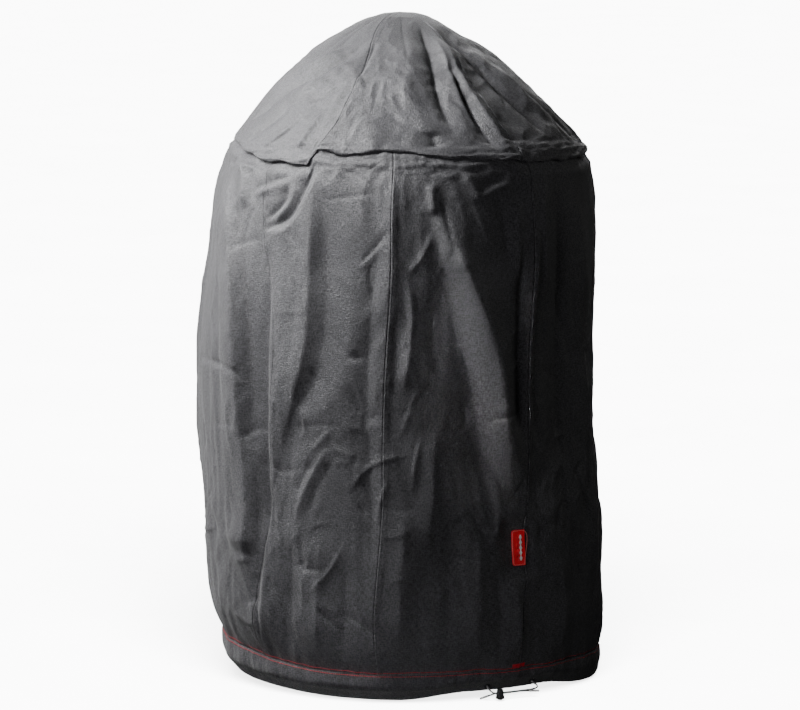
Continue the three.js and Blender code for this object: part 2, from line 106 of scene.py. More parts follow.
# How far the skirt's seams wander from their even places, as (height, degrees).
SEAM_WANDER = [
    (48, -3.8), (130, -2.6), (220, -0.6), (320, 0.8), (440, 2.0), (560, 3.2), (740, 4.0), (900, 3.0),
]
LOBE_SEAM_EXTRA = [(48, 3.5), (222, 9), (464, 12.5), (578, 12), (638, 9), (749, 3.5), (900, 0)]
MIDDLE_SEAM_EXTRA = [(48, 0.9), (275, 1.5), (357, 2.1), (489, 2.3), (620, 1.5), (740, 0.3), (900, 0)]
CROWN_SEAMS = len(GORE_PLACES)
CROWN_TURN = 360 / CROWN_SEAMS
FIRST_CROWN_SEAM = -30.5
LEFT_CROWN_WANDER = [(850, -1), (882, 1), (916, 5.5), (954, 8), (992, 10), (1046, 9), (1090, 0)]
RIGHT_CROWN_WANDER = [(850, -3.5), (865, -3.3), (935, -6), (996, -6.5), (1060, 0), (1090, 0)]

# Height of the shoulder seam round the cover, as (angle, height).
SHOULDER_LINE = [
    (-180, 872), (-150, 867), (-125, 876), (-102, 884), (-86, 886), (-73, 880), (-61, 869), (-52, 861),
    (-42, 860), (-32, 858), (-30, 881), (-23, 877), (-15, 877), (-4, 884), (4, 877), (14, 872), (33, 865),
    (41, 861), (52, 860), (72, 857), (95, 862), (120, 871), (150, 866), (180, 872),
]


def spline(x, knots):
    """Smooth curve through (x, y) knots, held level past both ends."""
    xs, ys = np.array(knots, float).T
    slopes = np.gradient(ys, xs)
    x = np.asarray(x, float)
    i = np.clip(np.searchsorted(xs, x) - 1, 0, len(xs) - 2)
    width = xs[i + 1] - xs[i]
    t = np.clip((x - xs[i]) / width, 0, 1)
    ease = t * t * (3 - 2 * t)
    bend = t * (1 - t) * width * (slopes[i] * (1 - t) - slopes[i + 1] * t)
    return ys[i] * (1 - ease) + ys[i + 1] * ease + bend


def smoothstep(x, low, high):
    t = np.clip((x - low) / (high - low), 0, 1)
    return t * t * (3 - 2 * t)


def turn_from(angle, middle):
    """Signed turn from the middle to the angle, -180 to 180."""
    return (angle - middle + 180) % 360 - 180


def hump(distance, plateau, spread):
    """1 within the plateau, then falling smoothly to 0 over the spread."""
    away = np.clip((np.abs(distance) - plateau) / spread, 0, 1)
    return (np.cos(np.pi * away) + 1) / 2


def bump(angle, middle, plateau, spread):
    return hump(turn_from(angle, middle), plateau, spread)


def make_outline():
    """Radius, height and outward normal along the outline, against distance from the hem seam."""
    knots = np.array(OUTLINE, float)
    chord = np.concatenate([[0], np.cumsum(np.hypot(*np.diff(knots, axis=0).T))])
    t = np.linspace(0, chord[-1], OUTLINE_STEPS)
    r = spline(t, list(zip(chord, knots[:, 0])))
    h = spline(t, list(zip(chord, knots[:, 1])))
    s = np.concatenate([[0], np.cumsum(np.hypot(np.diff(r), np.diff(h)))])
    dr, dh = np.gradient(r, s), np.gradient(h, s)
    return s, r, h, dh, -dr


LINE_S, LINE_R, LINE_H, LINE_NR, LINE_NH = make_outline()
TOTAL_S = LINE_S[-1]


def s_at_height(h):
    return np.interp(h, LINE_H, LINE_S)


def height_at(s):
    return np.interp(s, LINE_S, LINE_H)


def radius_at(s):
    return np.interp(s, LINE_S, LINE_R)


def lean_at(h):
    return spline(h, LEAN)


def hem_rise(angle, h):
    fade = np.clip((LEFT_LIFT["fade_top"] - h) / (LEFT_LIFT["fade_top"] - HEM_SEAM), 0, 1)
    kept = LEFT_LIFT["foot_share"] + (1 - LEFT_LIFT["foot_share"]) * smoothstep(h, 0, HEM_SEAM)
    lift = LEFT_LIFT["height"] * bump(angle, LEFT_LIFT["angle"], 0, LEFT_LIFT["spread"]) * fade * kept
    share = np.clip(1 - h / HEM_SEAM, 0, 1)
    tuck = CORD_TUCK["height"] * bump(angle, CORD_TUCK["angle"], CORD_TUCK["plateau"], CORD_TUCK["spread"])
    return lift + tuck * share


def flare(angle, h):
    """The hem is a little wider from side to side than the outline."""
    lean = np.sin(np.radians(angle))
    side = smoothstep(-lean, 0.72, 0.97) + RIGHT_FLARE_SHARE * smoothstep(lean, 0.72, 0.97)
    return SIDE_FLARE * side * (1 - smoothstep(h, 60, FLARE_TOP))


def noise(points, seed):
    """Gradient noise, about -1 to 1, at an array of points."""
    rng = np.random.default_rng(seed)
    order = rng.permutation(256)
    slopes = rng.normal(size=(256, 3))
    slopes /= np.linalg.norm(slopes, axis=1)[:, None]
    cell = np.floor(points).astype(int)
    inside = points - cell
    ease = inside**3 * (inside * (inside * 6 - 15) + 10)
    total = 0.0
    for corner in np.ndindex(2, 2, 2):
        at = cell + corner
        pick = order[(order[(order[at[..., 0] & 255] + at[..., 1]) & 255] + at[..., 2]) & 255]
        weight = np.prod(np.where(np.array(corner) == 1, ease, 1 - ease), axis=-1)
        total = total + weight * np.sum(slopes[pick] * (inside - corner), axis=-1)
    return total * 1.6


def cloth_noise(x, y, layer, seed):
    """Noise at scaled places across and up the cloth."""
    x, y = np.broadcast_arrays(x, y)
    return noise(np.stack([x, y, np.full(x.shape, layer)], axis=-1), seed)


# Creases are rounded off over this distance.
FOLD_SOFTNESS = 1.3
# A fold is left out beyond this many times its reach, where nothing is left of it.
FOLD_MARGIN = 3.2
# One radius for lengths and slopes along a fold's line.
FOLD_RADIUS = 300


class Fold:
    """A ridge (height above 0) or valley (below 0) along a line of (angle, height) points.

    reach is how far it spreads to each side: to lower and to higher angles for an upright line,
    below and above for a level one. sharp is the power of its falling off: 1 is a crease, 2 a soft roll.
    """

    def __init__(self, points, height, reach, sharp=1.25, ends=(0.25, 0.25)):
        line = np.array(points, float)
        if len(line) > 2:
            chord = np.arange(len(line), dtype=float)
            fine = np.linspace(0, len(line) - 1, (len(line) - 1) * 4 + 1)
            line = np.stack([spline(fine, list(zip(chord, line[:, k]))) for k in (0, 1)], axis=1)
        self.angles = line[:, 0]
        self.s = s_at_height(line[:, 1])
        self.height, self.reach, self.sharp, self.ends = height, reach, sharp, ends

    def add_to(self, total, angle, s, radius):
        margin = FOLD_MARGIN * max(self.reach)
        near = (s > self.s.min() - margin) & (s < self.s.max() + margin)
        middle = (self.angles.min() + self.angles.max()) / 2
        half_turn = (self.angles.max() - self.angles.min()) / 2
        turn = turn_from(angle, middle)
        near &= np.abs(np.radians(np.abs(turn) - half_turn).clip(0)) * radius < margin
        if not near.any():
            return
        x = turn[near]
        r = radius[near]
        y = s[near]
        best = np.full(x.shape, np.inf)
        side = np.zeros(x.shape)
        along = np.zeros(x.shape)
        steps = np.hypot(np.radians(np.diff(self.angles)) * FOLD_RADIUS, np.diff(self.s))
        length = np.concatenate([[0], np.cumsum(steps)])
        level_run = np.radians(self.angles[-1] - self.angles[0]) * FOLD_RADIUS
        upright = abs(self.s[-1] - self.s[0]) >= abs(level_run)
        for k in range(len(self.angles) - 1):
            ax = np.radians(x - (self.angles[k] - middle)) * r
            ay = y - self.s[k]
            bx = np.radians(self.angles[k + 1] - self.angles[k]) * r
            by = self.s[k + 1] - self.s[k]
            t = np.clip((ax * bx + ay * by) / (bx * bx + by * by + 1e-9), 0, 1)
            gap = np.hypot(ax - t * bx, ay - t * by)
            closer = gap < best
            best = np.where(closer, gap, best)
            cross = (ax * by - ay * bx) * (np.sign(by) if upright else -np.sign(bx))
            side = np.where(closer, cross, side)
            along = np.where(closer, (length[k] + t * steps[k]) / length[-1], along)
        reach = np.where(side < 0, self.reach[0], self.reach[1])
        best = np.hypot(best, FOLD_SOFTNESS) - FOLD_SOFTNESS
        fall = np.exp(-np.power(best / reach, self.sharp))
        first, last = self.ends
        taper = smoothstep(along, -0.02, first) * (1 - smoothstep(along, 1 - last, 1.02))
        total[near] += self.height * fall * taper


# The folds that show from the front.
FRONT_FOLDS = [
    # The sunk strip at the right of the left lobe.
    Fold([(-50, 750), (-42.5, 690), (-40.5, 578), (-40, 464), (-42.5, 260), (-49, 90)], -13, (26, 9), 1.1),
    Fold([(-79, 534), (-57, 531), (-46, 519)], -3.4, (12, 4), 1.05),
    Fold([(-79, 524), (-58, 520), (-48, 508)], 1.8, (16, 6)),
    Fold([(-66, 700), (-60, 560), (-57, 430)], -4, (20, 14)),
    Fold([(-76, 800), (-68, 700), (-64, 600)], 4, (14, 18)),
    # Drag folds under the foot of the left crown seam.
    Fold([(-29.5, 868), (-33.5, 796), (-37.6, 769), (-46, 751)], -8, (10, 3), 1.0),
    Fold([(-27, 866), (-31, 796), (-35, 762), (-43, 741)], 6, (6, 26)),
    Fold([(-38.7, 830), (-38.6, 799), (-45, 767)], -5.5, (7, 3), 1.0),
    Fold([(-36.5, 830), (-36.2, 799), (-42, 764)], 3.4, (4, 8)),
    Fold([(-60, 862), (-54, 852), (-48, 850)], -7, (8, 6), 1.2),
    Fold([(-53, 812), (-44.2, 829), (-36.5, 842)], -4, (5, 8), 1.05),
    Fold([(-54, 802), (-45, 818), (-38, 830)], 4, (8, 6)),
    Fold([(-63, 858), (-58, 826), (-55, 780)], 7, (14, 10)),
    Fold([(-57, 853), (-54, 820), (-50, 790)], -5, (7, 9), 1.1),
    # The broad front left panel: a lit ridge, the long valley down to the left, and a second ridge.
    Fold([(-28.5, 838), (-27, 706), (-25.8, 588), (-29, 497), (-35.5, 400)], 9, (34, 13), 1.15),
    Fold([(-24.5, 850), (-22, 720), (-20.4, 602), (-23, 518), (-29, 468), (-33, 406), (-39, 284)],
         -6, (17, 30), 1.4),
    Fold([(-15.8, 838), (-14.1, 710), (-12.6, 592), (-15.6, 509), (-22, 460), (-28, 390)], 3, (26, 34)),
    Fold([(-8.5, 830), (-7.5, 711), (-7.2, 593), (-7.5, 355), (-10, 150)], -6, (22, 14)),
    Fold([(-11.8, 706), (-7.2, 737), (-3.6, 762)], -2.4, (4, 7), 1.05),
    Fold([(-12.5, 694), (-8.0, 722), (-4.4, 745)], 1.8, (6, 5), 1.1),
    Fold([(-21, 603), (-12, 562), (-6, 560)], -1.3, (8, 4), 1.05),
    # The lit ridge that runs from the shoulder to the label, and the valley under its left side.
    Fold([(9, 820), (11, 790), (15, 727), (22, 649), (29, 552), (31, 468), (32.5, 390), (34, 315)],
         30, (42, 34), 1.2),
    Fold([(7.5, 815), (8.5, 769), (11.5, 710), (17.2, 603), (22.4, 507), (24.5, 423), (27, 375), (32, 289)],
         -15, (30, 22), 1.5),
    Fold([(10.9, 812), (13.5, 748), (15.5, 708)], -5, (4, 8), 1.05),
    Fold([(7.6, 836), (8, 812), (8.4, 780)], 5, (6, 7)),
    Fold([(12, 690), (10, 620), (11, 540)], -4, (26, 16)),
    # Smaller creases of the front right panel.
    Fold([(2.1, 684), (4.5, 605), (3.0, 497)], 4.2, (5, 9), 1.05),
    Fold([(1.9, 690), (6.5, 726), (8.3, 757)], 3.6, (5, 8), 1.05),
    Fold([(-1, 640), (0.5, 560), (0, 480)], -3.4, (9, 8)),
    Fold([(11.6, 452), (9.9, 355), (6.8, 236)], 5, (26, 8), 1.1),
    Fold([(23.6, 507), (21.3, 472), (20.6, 436)], -3.2, (8, 4), 1.05),
    Fold([(26.5, 381), (29.0, 326), (26.5, 243)], 3.6, (9, 5), 1.05),
    Fold([(21.5, 818), (27.6, 835), (33, 845)], -4.6, (8, 4), 1.05),
    Fold([(22, 806), (28, 822), (34, 831)], 4, (9, 7)),
    Fold([(17, 846), (21, 826), (23, 800)], 4, (7, 8), 1.1),
    Fold([(29, 826), (31, 760), (33, 700)], -4.5, (10, 12), 1.15),
    Fold([(35.5, 812), (36, 740), (37, 660)], 5, (10, 9), 1.15),
    Fold([(37, 760), (37.5, 640), (37, 560), (36.5, 400)], -9, (12, 9), 1.1),
    Fold([(43.5, 780), (42, 640), (40.6, 500), (39, 380)], 5, (7, 4), 1.0),
    # A crossed crease low on the front left panel.
    Fold([(-24.5, 405), (-21, 424), (-17.8, 444)], 2.2, (4, 6), 1.05),
    Fold([(-18.8, 416), (-15, 408), (-10.8, 398)], 2.6, (6, 4), 1.05),
    Fold([(-18.2, 420), (-26.4, 351), (-31.8, 287)], 3.2, (5, 10), 1.05),
    Fold([(-15.5, 412), (-23.5, 344), (-28.5, 286)], -2.4, (8, 8), 1.1),
    Fold([(-24, 392), (-28, 360), (-30, 330)], -3, (10, 5), 1.05),
    # Soft upright rolls that open towards the hem.
    Fold([(-42, 300), (-44, 180), (-49, 60)], 8, (22, 20), 1.15),
    Fold([(-33, 270), (-34.5, 170), (-38, 60)], -7, (18, 22), 1.15),
    Fold([(-23, 290), (-25, 170), (-29, 60)], 5, (22, 22), 1.15),
    Fold([(-16, 240), (-17, 150), (-20, 62)], -4, (14, 14), 1.15),
    Fold([(1, 330), (0, 220), (-3, 70)], 5, (20, 26), 1.15),
    Fold([(14, 330), (13.5, 220), (11, 70)], -5.5, (22, 20), 1.15),
    Fold([(22, 290), (22, 180), (20, 64)], 5.5, (18, 12), 1.15),
    Fold([(28, 230), (28.5, 140), (27, 62)], -5, (12, 10), 1.15),
    Fold([(33, 210), (34, 130), (34, 62)], 5, (10, 8), 1.15),
    # Right flank.
    Fold([(46, 850), (46, 740), (47, 620)], 6, (9, 14), 1.1),
    Fold([(52, 840), (54, 700), (55, 520), (56, 300)], -9, (24, 26)),
    Fold([(64, 850), (67, 700), (69, 500), (71, 300), (73, 90)], 8, (30, 34)),
    Fold([(50, 240), (52, 150), (50, 60)], 6, (20, 20), 1.15),
    # Crown: a valley from the apex, a lit ridge beside the right seam, and the folds between.
    Fold([(30, 1072), (24, 1046), (18.5, 1005), (16.2, 960), (17.3, 900)], -10, (9, 12), 1.15),
    Fold([(33, 1060), (27, 1010), (25, 955), (27, 905)], 6, (6, 7), 1.15),
    Fold([(28, 1010), (27, 955), (28.5, 908), (31, 873)], -7, (7, 6), 1.1),
    Fold([(37, 1055), (31.5, 1005), (31.5, 950), (34, 893), (36.5, 868)], 8, (9, 8), 1.15),
    Fold([(8, 1050), (4, 985), (2, 930)], 6, (30, 26)),
    Fold([(9.5, 912), (9.5, 900), (10, 886)], -8, (12, 12)),
    Fold([(-14, 930), (-12, 900), (-8, 884)], 4, (18, 20)),
    Fold([(-9, 960), (-3, 930), (6, 912)], -3, (6, 9), 1.1),
    Fold([(-66, 918), (-66, 948), (-55, 974), (-36, 981)], 5, (11, 4), 1.1),
    Fold([(-24, 1052), (-42, 1010), (-62, 960), (-80, 902)], -10, (12, 11), 1.15),
    Fold([(-40, 1040), (-62, 1000), (-84, 950)], 6, (14, 14)),
    Fold([(-27, 1020), (-41, 985), (-52, 960)], 6, (8, 8), 1.1),
    Fold([(-33, 965), (-40, 930), (-49, 885)], -6, (6, 6), 1.1),
    Fold([(-31, 940), (-35, 910), (-38, 872)], 5, (6, 6), 1.1),
    Fold([(-36, 950), (-45, 910), (-56, 876)], 5, (9, 8), 1.1),
    Fold([(-50, 945), (-58, 915), (-66, 885)], -5, (7, 7), 1.1),
    Fold([(-26, 985), (-33, 965), (-43, 955)], -4, (5, 6), 1.1),
    Fold([(-17.5, 1044), (-19.5, 1010), (-21, 985)], -7, (9, 4), 1.1),
    Fold([(44, 1062), (47, 1010), (52, 950), (57, 890)], -9, (9, 14), 1.15),
    Fold([(56, 1030), (62, 970), (66, 900)], 6, (16, 16)),
    Fold([(70, 990), (74, 930), (78, 880)], -4, (12, 12)),
]


def back_folds():
    """Ridges and valleys in turn for the sides that don't face the front, then drags under the shoulder."""
    rng = np.random.default_rng(11)
    made = []
    for k, angle in enumerate(np.arange(88, 278, 13.5)):
        drift = rng.uniform(-9, 9, 4)
        top, foot = rng.uniform(760, 860), rng.uniform(60, 240)
        height = (1 if k % 2 else -1) * rng.uniform(6, 11)
        reach = (rng.uniform(18, 42), rng.uniform(18, 42))
        line = zip(angle + np.cumsum(drift) * 0.6, np.linspace(top, foot, 4))
        made.append(Fold(list(line), height, reach, 1.5))
    for k, angle in enumerate(np.arange(92, 268, 17)):
        height = (1 if k % 2 else -1) * rng.uniform(3.5, 7)
        tilt = rng.uniform(-8, 8)
        made.append(Fold([(angle - tilt, 1045), (angle, 970), (angle + tilt, 885)], height, (12, 14), 1.5))
    for angle in (97, 133, 170, 214, 251):
        drop = rng.uniform(60, 120)
        lean = rng.choice([-1, 1]) * rng.uniform(6, 12)
        line = [(angle, 862), (angle + lean * 0.4, 862 - drop * 0.5), (angle + lean, 862 - drop)]
        made.append(Fold(line, rng.uniform(4, 6), (8, 22), 1.4))
    return made


PACKING_CREASES = 420
PACKING_RADIUS = 310


def packing_creases():
    """Short faint creases left from the folded packet."""
    rng = np.random.default_rng(5)
    made = []
    for _ in range(PACKING_CREASES):
        angle = rng.uniform(-180, 180)
        height = rng.uniform(70, 1020) if rng.random() < 0.6 else rng.uniform(70, 450)
        upright = (rng.normal(1.5, 0.3), rng.normal(1.5, 0.5))
        heading = rng.choice([*upright, rng.normal(0.1, 0.35), rng.uniform(0, 3)])
        length = rng.uniform(22, 130)
        reach = rng.uniform(1.5, 4.5)
        dx = math.degrees(math.cos(heading) * length / PACKING_RADIUS)
        dy = math.sin(heading) * length
        bend = rng.uniform(-0.18, 0.18)
        bow = math.degrees(bend * dy / PACKING_RADIUS)
        middle = (angle + dx / 2 - bow, height + dy / 2 + bend * length)
        line = [(angle, height), middle, (angle + dx, height + dy)]
        depth = rng.choice([-1, 1]) * rng.uniform(0.8, 2.5)
        made.append(Fold(line, depth, (reach, reach * 2.2), 1.1, (0.4, 0.4)))
    return made


ALL_FOLDS = FRONT_FOLDS + back_folds() + packing_creases()

# The edge of the left lobe as (height, angle). The lobe stands out and hangs over the strip at its right.
LOBE_EDGE = [
    (60, -52), (110, -50.5), (237, -49.5), (396, -49), (610, -52), (700, -57), (783, -64), (850, -70),
]
LOBE = {"height": 20.0, "reach": 55.0, "step": 25.0, "overhang": 5.0, "wave": 70, "slide_reach": 22}


def lobe_shape(angle, s, radius, h):
    """How far the left lobe stands out, and how far its edge slides over the cloth at its right."""
    gap = np.radians(turn_from(angle, 0) - spline(h, LOBE_EDGE)) * radius
    share = (0.5 * smoothstep(h, 70, 300) + 0.5 * smoothstep(h, 220, 250)) * (1 - smoothstep(h, 740, 850))
    left = np.exp(-np.power(np.clip(-gap, 0, None) / LOBE["reach"], 1.8))
    right = np.hypot(1 - np.clip(gap / LOBE["step"], 0, 1), 0.06) - 0.06
    wave = 0.85 + 0.3 * np.sin(s / LOBE["wave"])
    height = LOBE["height"] * share * wave * np.where(gap < 0, left, right)
    slid = np.where(gap < 0, np.exp(-((gap / LOBE["slide_reach"]) ** 2)), right)
    slide = LOBE["overhang"] * share * slid
    return height, slide


# The skirt lies flat behind the label, which is sewn into the seam at its right.
LABEL_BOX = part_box("label_tab")
LABEL_HEIGHT = ((LABEL_BOX[0].z + LABEL_BOX[1].z) / 2 - HEM_FOOT_Z) / MM
LABEL_SEAM = 2
LABEL_FACING = FIRST_SKIRT_SEAM + SKIRT_TURN * (LABEL_SEAM - 1 / 8)


def node_points(node):
    """A CAD node's vertices in millimetres, at their heights above the hem's foot."""
    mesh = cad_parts[node].data
    points = np.empty(len(mesh.vertices) * 3, np.float32)
    mesh.vertices.foreach_get("co", points)
    return (points.reshape(-1, 3) - (0, 0, HEM_FOOT_Z)) / MM


def facing(azimuth):
    """The level direction that faces that azimuth."""
    return np.array([math.sin(math.radians(azimuth)), -math.cos(math.radians(azimuth)), 0])


# Distance of the cloth behind the label from the skirt's axis: the label's inner face is just in front.
LABEL_CLEARANCE = 0.9
LABEL_DEPTHS = (node_points("label_tab") - (lean_at(LABEL_HEIGHT), 0, 0)) @ facing(LABEL_FACING)
LABEL_PLANE = LABEL_DEPTHS.min() - LABEL_CLEARANCE
# How far the cloth stands out at a seam, and over what distance. The seam in the lobe's valley doesn't.
SKIRT_RIDGES = {0: 0.0, 1: 7.5}
SKIRT_RIDGE, SKIRT_RIDGE_REACH = 4.0, 44
CROWN_RIDGE, CROWN_RIDGE_REACH = 2.6, 26
SHOULDER_HEIGHT = 870


def skirt_seam_angle(k, h):
    """Angle of the seam at the left of skirt panel k."""
    even = FIRST_SKIRT_SEAM + SKIRT_TURN * k
    turn = spline(h, SEAM_WANDER)
    k = k % SKIRT_SEAMS
    if k == 0:
        turn = turn + spline(h, LOBE_SEAM_EXTRA)
    if k == 1:
        turn = turn + spline(h, MIDDLE_SEAM_EXTRA)
    if k == LABEL_SEAM:
        turn = turn * (1 - hump(h - LABEL_HEIGHT, 30, 60))
    if k > LABEL_SEAM:
        turn = turn + 1.6 * np.sin(h / 130 + 2.1 * k)
    return even + turn


def crown_seam_angle(k, h):
    """Angle of the seam at the left of crown gore k."""
    even = FIRST_CROWN_SEAM + CROWN_TURN * k
    if k % CROWN_SEAMS == 0:
        return even + spline(h, LEFT_CROWN_WANDER)
    if k % CROWN_SEAMS == 1:
        return even + spline(h, RIGHT_CROWN_WANDER)
    return even + 3 * np.sin(h / 60 + k)


def shoulder_s(angle):
    """Where the crown's edge lies, as distance from the hem seam."""
    angle = turn_from(np.asarray(angle, float), 0)
    angles, heights = np.array(SHOULDER_LINE, float).T
    wobble = 1.2 * np.sin(np.radians(angle) * 23) + 0.8 * np.sin(np.radians(angle) * 41 + 1)
    return s_at_height(np.interp(angle, angles, heights) + wobble)


def place(angle, r, h, rise=0.0):
    """The point at an angle, radius and height of the even cover, leant, flared and lifted as it hangs."""
    r = r + flare(angle, h)
    turn = np.radians(angle)
    lifted = h + hem_rise(angle, h) + rise
    return np.stack([lean_at(h) + r * np.sin(turn), -r * np.cos(turn), lifted], axis=-1)


def revolve(angle, s, offset):
    """Points at an angle and a distance up the outline, moved out along the normal."""
    r = radius_at(s)
    h = height_at(s)
    nr = np.interp(s, LINE_S, LINE_NR)
    nh = np.interp(s, LINE_S, LINE_NH)
    return place(angle, r + nr * offset, h, nh * offset)


def seam_ridges(angle, h, radius):
    """The stiff seam allowances hold the cloth out in a soft corner along each seam."""
    total = np.zeros(h.shape)
    on_skirt = 1 - smoothstep(h, SHOULDER_HEIGHT - 70, SHOULDER_HEIGHT)
    for k in range(SKIRT_SEAMS):
        gap = np.radians(np.abs(turn_from(angle, skirt_seam_angle(k, h)))) * radius
        total += SKIRT_RIDGES.get(k, SKIRT_RIDGE) * on_skirt * np.exp(-gap / SKIRT_RIDGE_REACH)
    for k in range(CROWN_SEAMS):
        gap = np.radians(np.abs(turn_from(angle, crown_seam_angle(k, h)))) * radius
        total += CROWN_RIDGE * (1 - on_skirt) * np.exp(-gap / CROWN_RIDGE_REACH)
    return total


# Facets of the stiff cloth as (size, seed, depth, middle): ridged for a depth above 0, creased for one below.
FACETS = [(105, 3, 6.0, 0.5), (64, 6, -4.2, 0.4), (34, 4, 3.6, 0.45), (15, 9, 1.2, 0.4)]
FACET_DRIFT = {"size": 110, "reach": 26, "seed": 31}
# Some places are crumpled more than others, and the whole cloth swells a little.
PATCHES = {"size": 200, "seed": 17}
SWELL = {"height": 2.4, "size": 160, "seed": 8}


def crumple(angle, radius, h):
    """The stiff canvas crumples into facets with soft corners, longer upright than across."""
    turn = np.radians(angle)
    stretch = 0.4 + 0.35 * smoothstep(h, SHOULDER_HEIGHT - 30, SHOULDER_HEIGHT + 30)
    at = np.stack([radius * np.sin(turn), -radius * np.cos(turn), h * stretch], axis=-1)
    drift = [noise(at / FACET_DRIFT["size"], FACET_DRIFT["seed"] + k) for k in range(3)]
    at = at + FACET_DRIFT["reach"] * np.stack(drift, axis=-1)
    total = sum(depth * (middle - np.abs(noise(at / size, seed))) for size, seed, depth, middle in FACETS)
    patchy = 0.7 + 0.6 * noise(at / PATCHES["size"], PATCHES["seed"])
    return total * patchy + SWELL["height"] * noise(at / SWELL["size"], SWELL["seed"])


def hem_gathers(angle, s):
    """Puckers that stand up from the drawn hem, closest together by the cord lock."""
    turn = np.radians(angle)
    drawn = 0.5 + 0.9 * bump(angle, 23, 10, 22)
    puckers = cloth_noise(turn * HEM_GIRTH_RADIUS / 22, s / 90, 1.5, 14)
    small = cloth_noise(turn * HEM_GIRTH_RADIUS / 6.5, s / 50, 1.5, 15)
    return 2.4 * drawn * puckers * np.exp(-s / 26) + 1.5 * bump(angle, 22, 9, 12) * small * np.exp(-s / 12)


def shoulder_pleats(angle, s):
    """Gathers that hang from the shoulder seam."""
    turn = np.radians(angle)
    below = shoulder_s(angle) - s
    gathered = 0.45 + 0.55 * bump(angle, 2, 9, 16) + 0.25 * cloth_noise(turn * 6, 0.0, 0.0, 12)
    pleats = cloth_noise(turn * SHOULDER_RADIUS / 15, s / 60, 4.5, 13)
    return np.where(below > 0, 2.8 * gathered * pleats * np.exp(-np.clip(below, 0, None) / 17), 0)


def cloth_offset(angle, s):
    """How far the draped cloth stands out from the smooth outline."""
    angle, s = np.broadcast_arrays(np.asarray(angle, float), np.asarray(s, float))
    radius = radius_at(s)
    h = height_at(s)
    total = np.zeros(s.shape)
    for fold in ALL_FOLDS:
        fold.add_to(total, angle, s, radius)
    total += lobe_shape(angle, s, radius, h)[0]
    total += crumple(angle, radius, h) + seam_ridges(angle, h, radius)
    # The apex is drawn smooth over the lid.
    total *= smoothstep(radius, 12, 70)
    total += shoulder_pleats(angle, s)
    total += hem_gathers(angle, s)
    # Flat behind the label, just clear of it.
    past = np.radians(np.clip(turn_from(angle, LABEL_FACING), -12, 12))
    flat = LABEL_PLANE / np.cos(past) - radius
    window = bump(angle, LABEL_FACING + 3.2, 3.4, 4.5) * hump(h - LABEL_HEIGHT, 33, 26)
    return total * (1 - window) + flat * window


def grid_mesh(name, outer, inner, coords, wrap=False):
    """A closed mesh from an outer and an inner grid of points (rows, columns, 3), in millimetres."""
    rows, columns = outer.shape[:2]
    count = rows * columns
    points = np.concatenate([outer.reshape(-1, 3), inner.reshape(-1, 3)])
    index = np.arange(count).reshape(rows, columns)
    if wrap:
        index = np.concatenate([index, index[:, :1]], axis=1)
    a, b, c, d = index[:-1, :-1], index[:-1, 1:], index[1:, 1:], index[1:, :-1]
    front = np.stack([a, b, c, d], axis=-1).reshape(-1, 4)
    back = front[:, ::-1] + count
    walls = []
    edges = [(index[0, 1:], index[0, :-1]), (index[-1, :-1], index[-1, 1:])]
    if not wrap:
        edges += [(index[:-1, 0], index[1:, 0]), (index[1:, -1], index[:-1, -1])]
    for first, second in edges:
        walls.append(np.stack([first, second, second + count, first + count], axis=-1))
    faces = np.concatenate([front, back, *walls])
    return faces_mesh(name, points, faces, np.tile(coords.reshape(-1, 2), (2, 1)))


def add_object(name, data):
    obj = bpy.data.objects.new(name, data)
    bpy.context.scene.collection.objects.link(obj)
    return obj


def to_frame(points):
    """Points in millimetres above the hem's foot, as points in the frame."""
    return points * MM + (0, 0, HEM_FOOT_Z)


def faces_mesh(name, points, faces, coords=None):
    """A smooth mesh object from points in millimetres and quads."""
    mesh = bpy.data.meshes.new(name)
    world = to_frame(points)
    mesh.vertices.add(len(world))
    mesh.vertices.foreach_set("co", world.astype(np.float32).ravel())
    mesh.loops.add(faces.size)
    mesh.loops.foreach_set("vertex_index", faces.astype(np.int32).ravel())
    mesh.polygons.add(len(faces))
    mesh.polygons.foreach_set("loop_start", np.arange(0, faces.size, faces.shape[1], dtype=np.int32))
    mesh.polygons.foreach_set("use_smooth", np.ones(len(faces), bool))
    if coords is not None:
        layer = mesh.uv_layers.new(name="cloth")
        layer.data.foreach_set("uv", (coords[faces.ravel()] * MM).astype(np.float32).ravel())
    mesh.update()
    mesh.validate()
    return add_object(name, mesh)


def unit(v):
    return v / np.maximum(np.linalg.norm(v, axis=-1, keepdims=True), 1e-9)


def grid_normals(points):
    return unit(np.cross(np.gradient(points, axis=1), np.gradient(points, axis=0)))


# The first columns' distances from a sewn edge, over its turned edge and the felled band beside it.
EDGE_PLACES = [0, 0.5, 1.1, 2.0, 3.4, 5.4, 8.2, 9.6, 11.5]


def edge_spaced(width, step):
    """Places across a sewn piece from 0 to 1, closer together at its edges."""
    near = np.array(EDGE_PLACES) / width
    middle = np.linspace(near[-1], 1 - near[-1], max(3, int(width * (1 - 2 * near[-1]) / step)))
    return np.concatenate([near[:-1], middle, 1 - near[:-1][::-1]])


def seam_shape(left, right, s):
    """The sewn edges turn in, the seam is puckered, and a felled band lies at the right of it."""
    pucker = cloth_noise(s / 9, 0.0, 0.5, 21)
    turned = -SEAM_DEPTH * (np.exp(-((left / 0.9) ** 2)) + np.exp(-((right / 0.9) ** 2)))
    puckered = 0.7 * pucker * (np.exp(-left / 7) + np.exp(-right / 7))
    band = 0.45 * (1 - smoothstep(left, 8.2, 10.0))
    return turned + puckered + band


# Typical sizes of the cut pieces, which set how many rows and columns they get.
PANEL_WIDTH, PANEL_LENGTH, PANEL_EVEN_LENGTH = 252, 835, 730
GORE_WIDTH, GORE_LENGTH = 350, 375
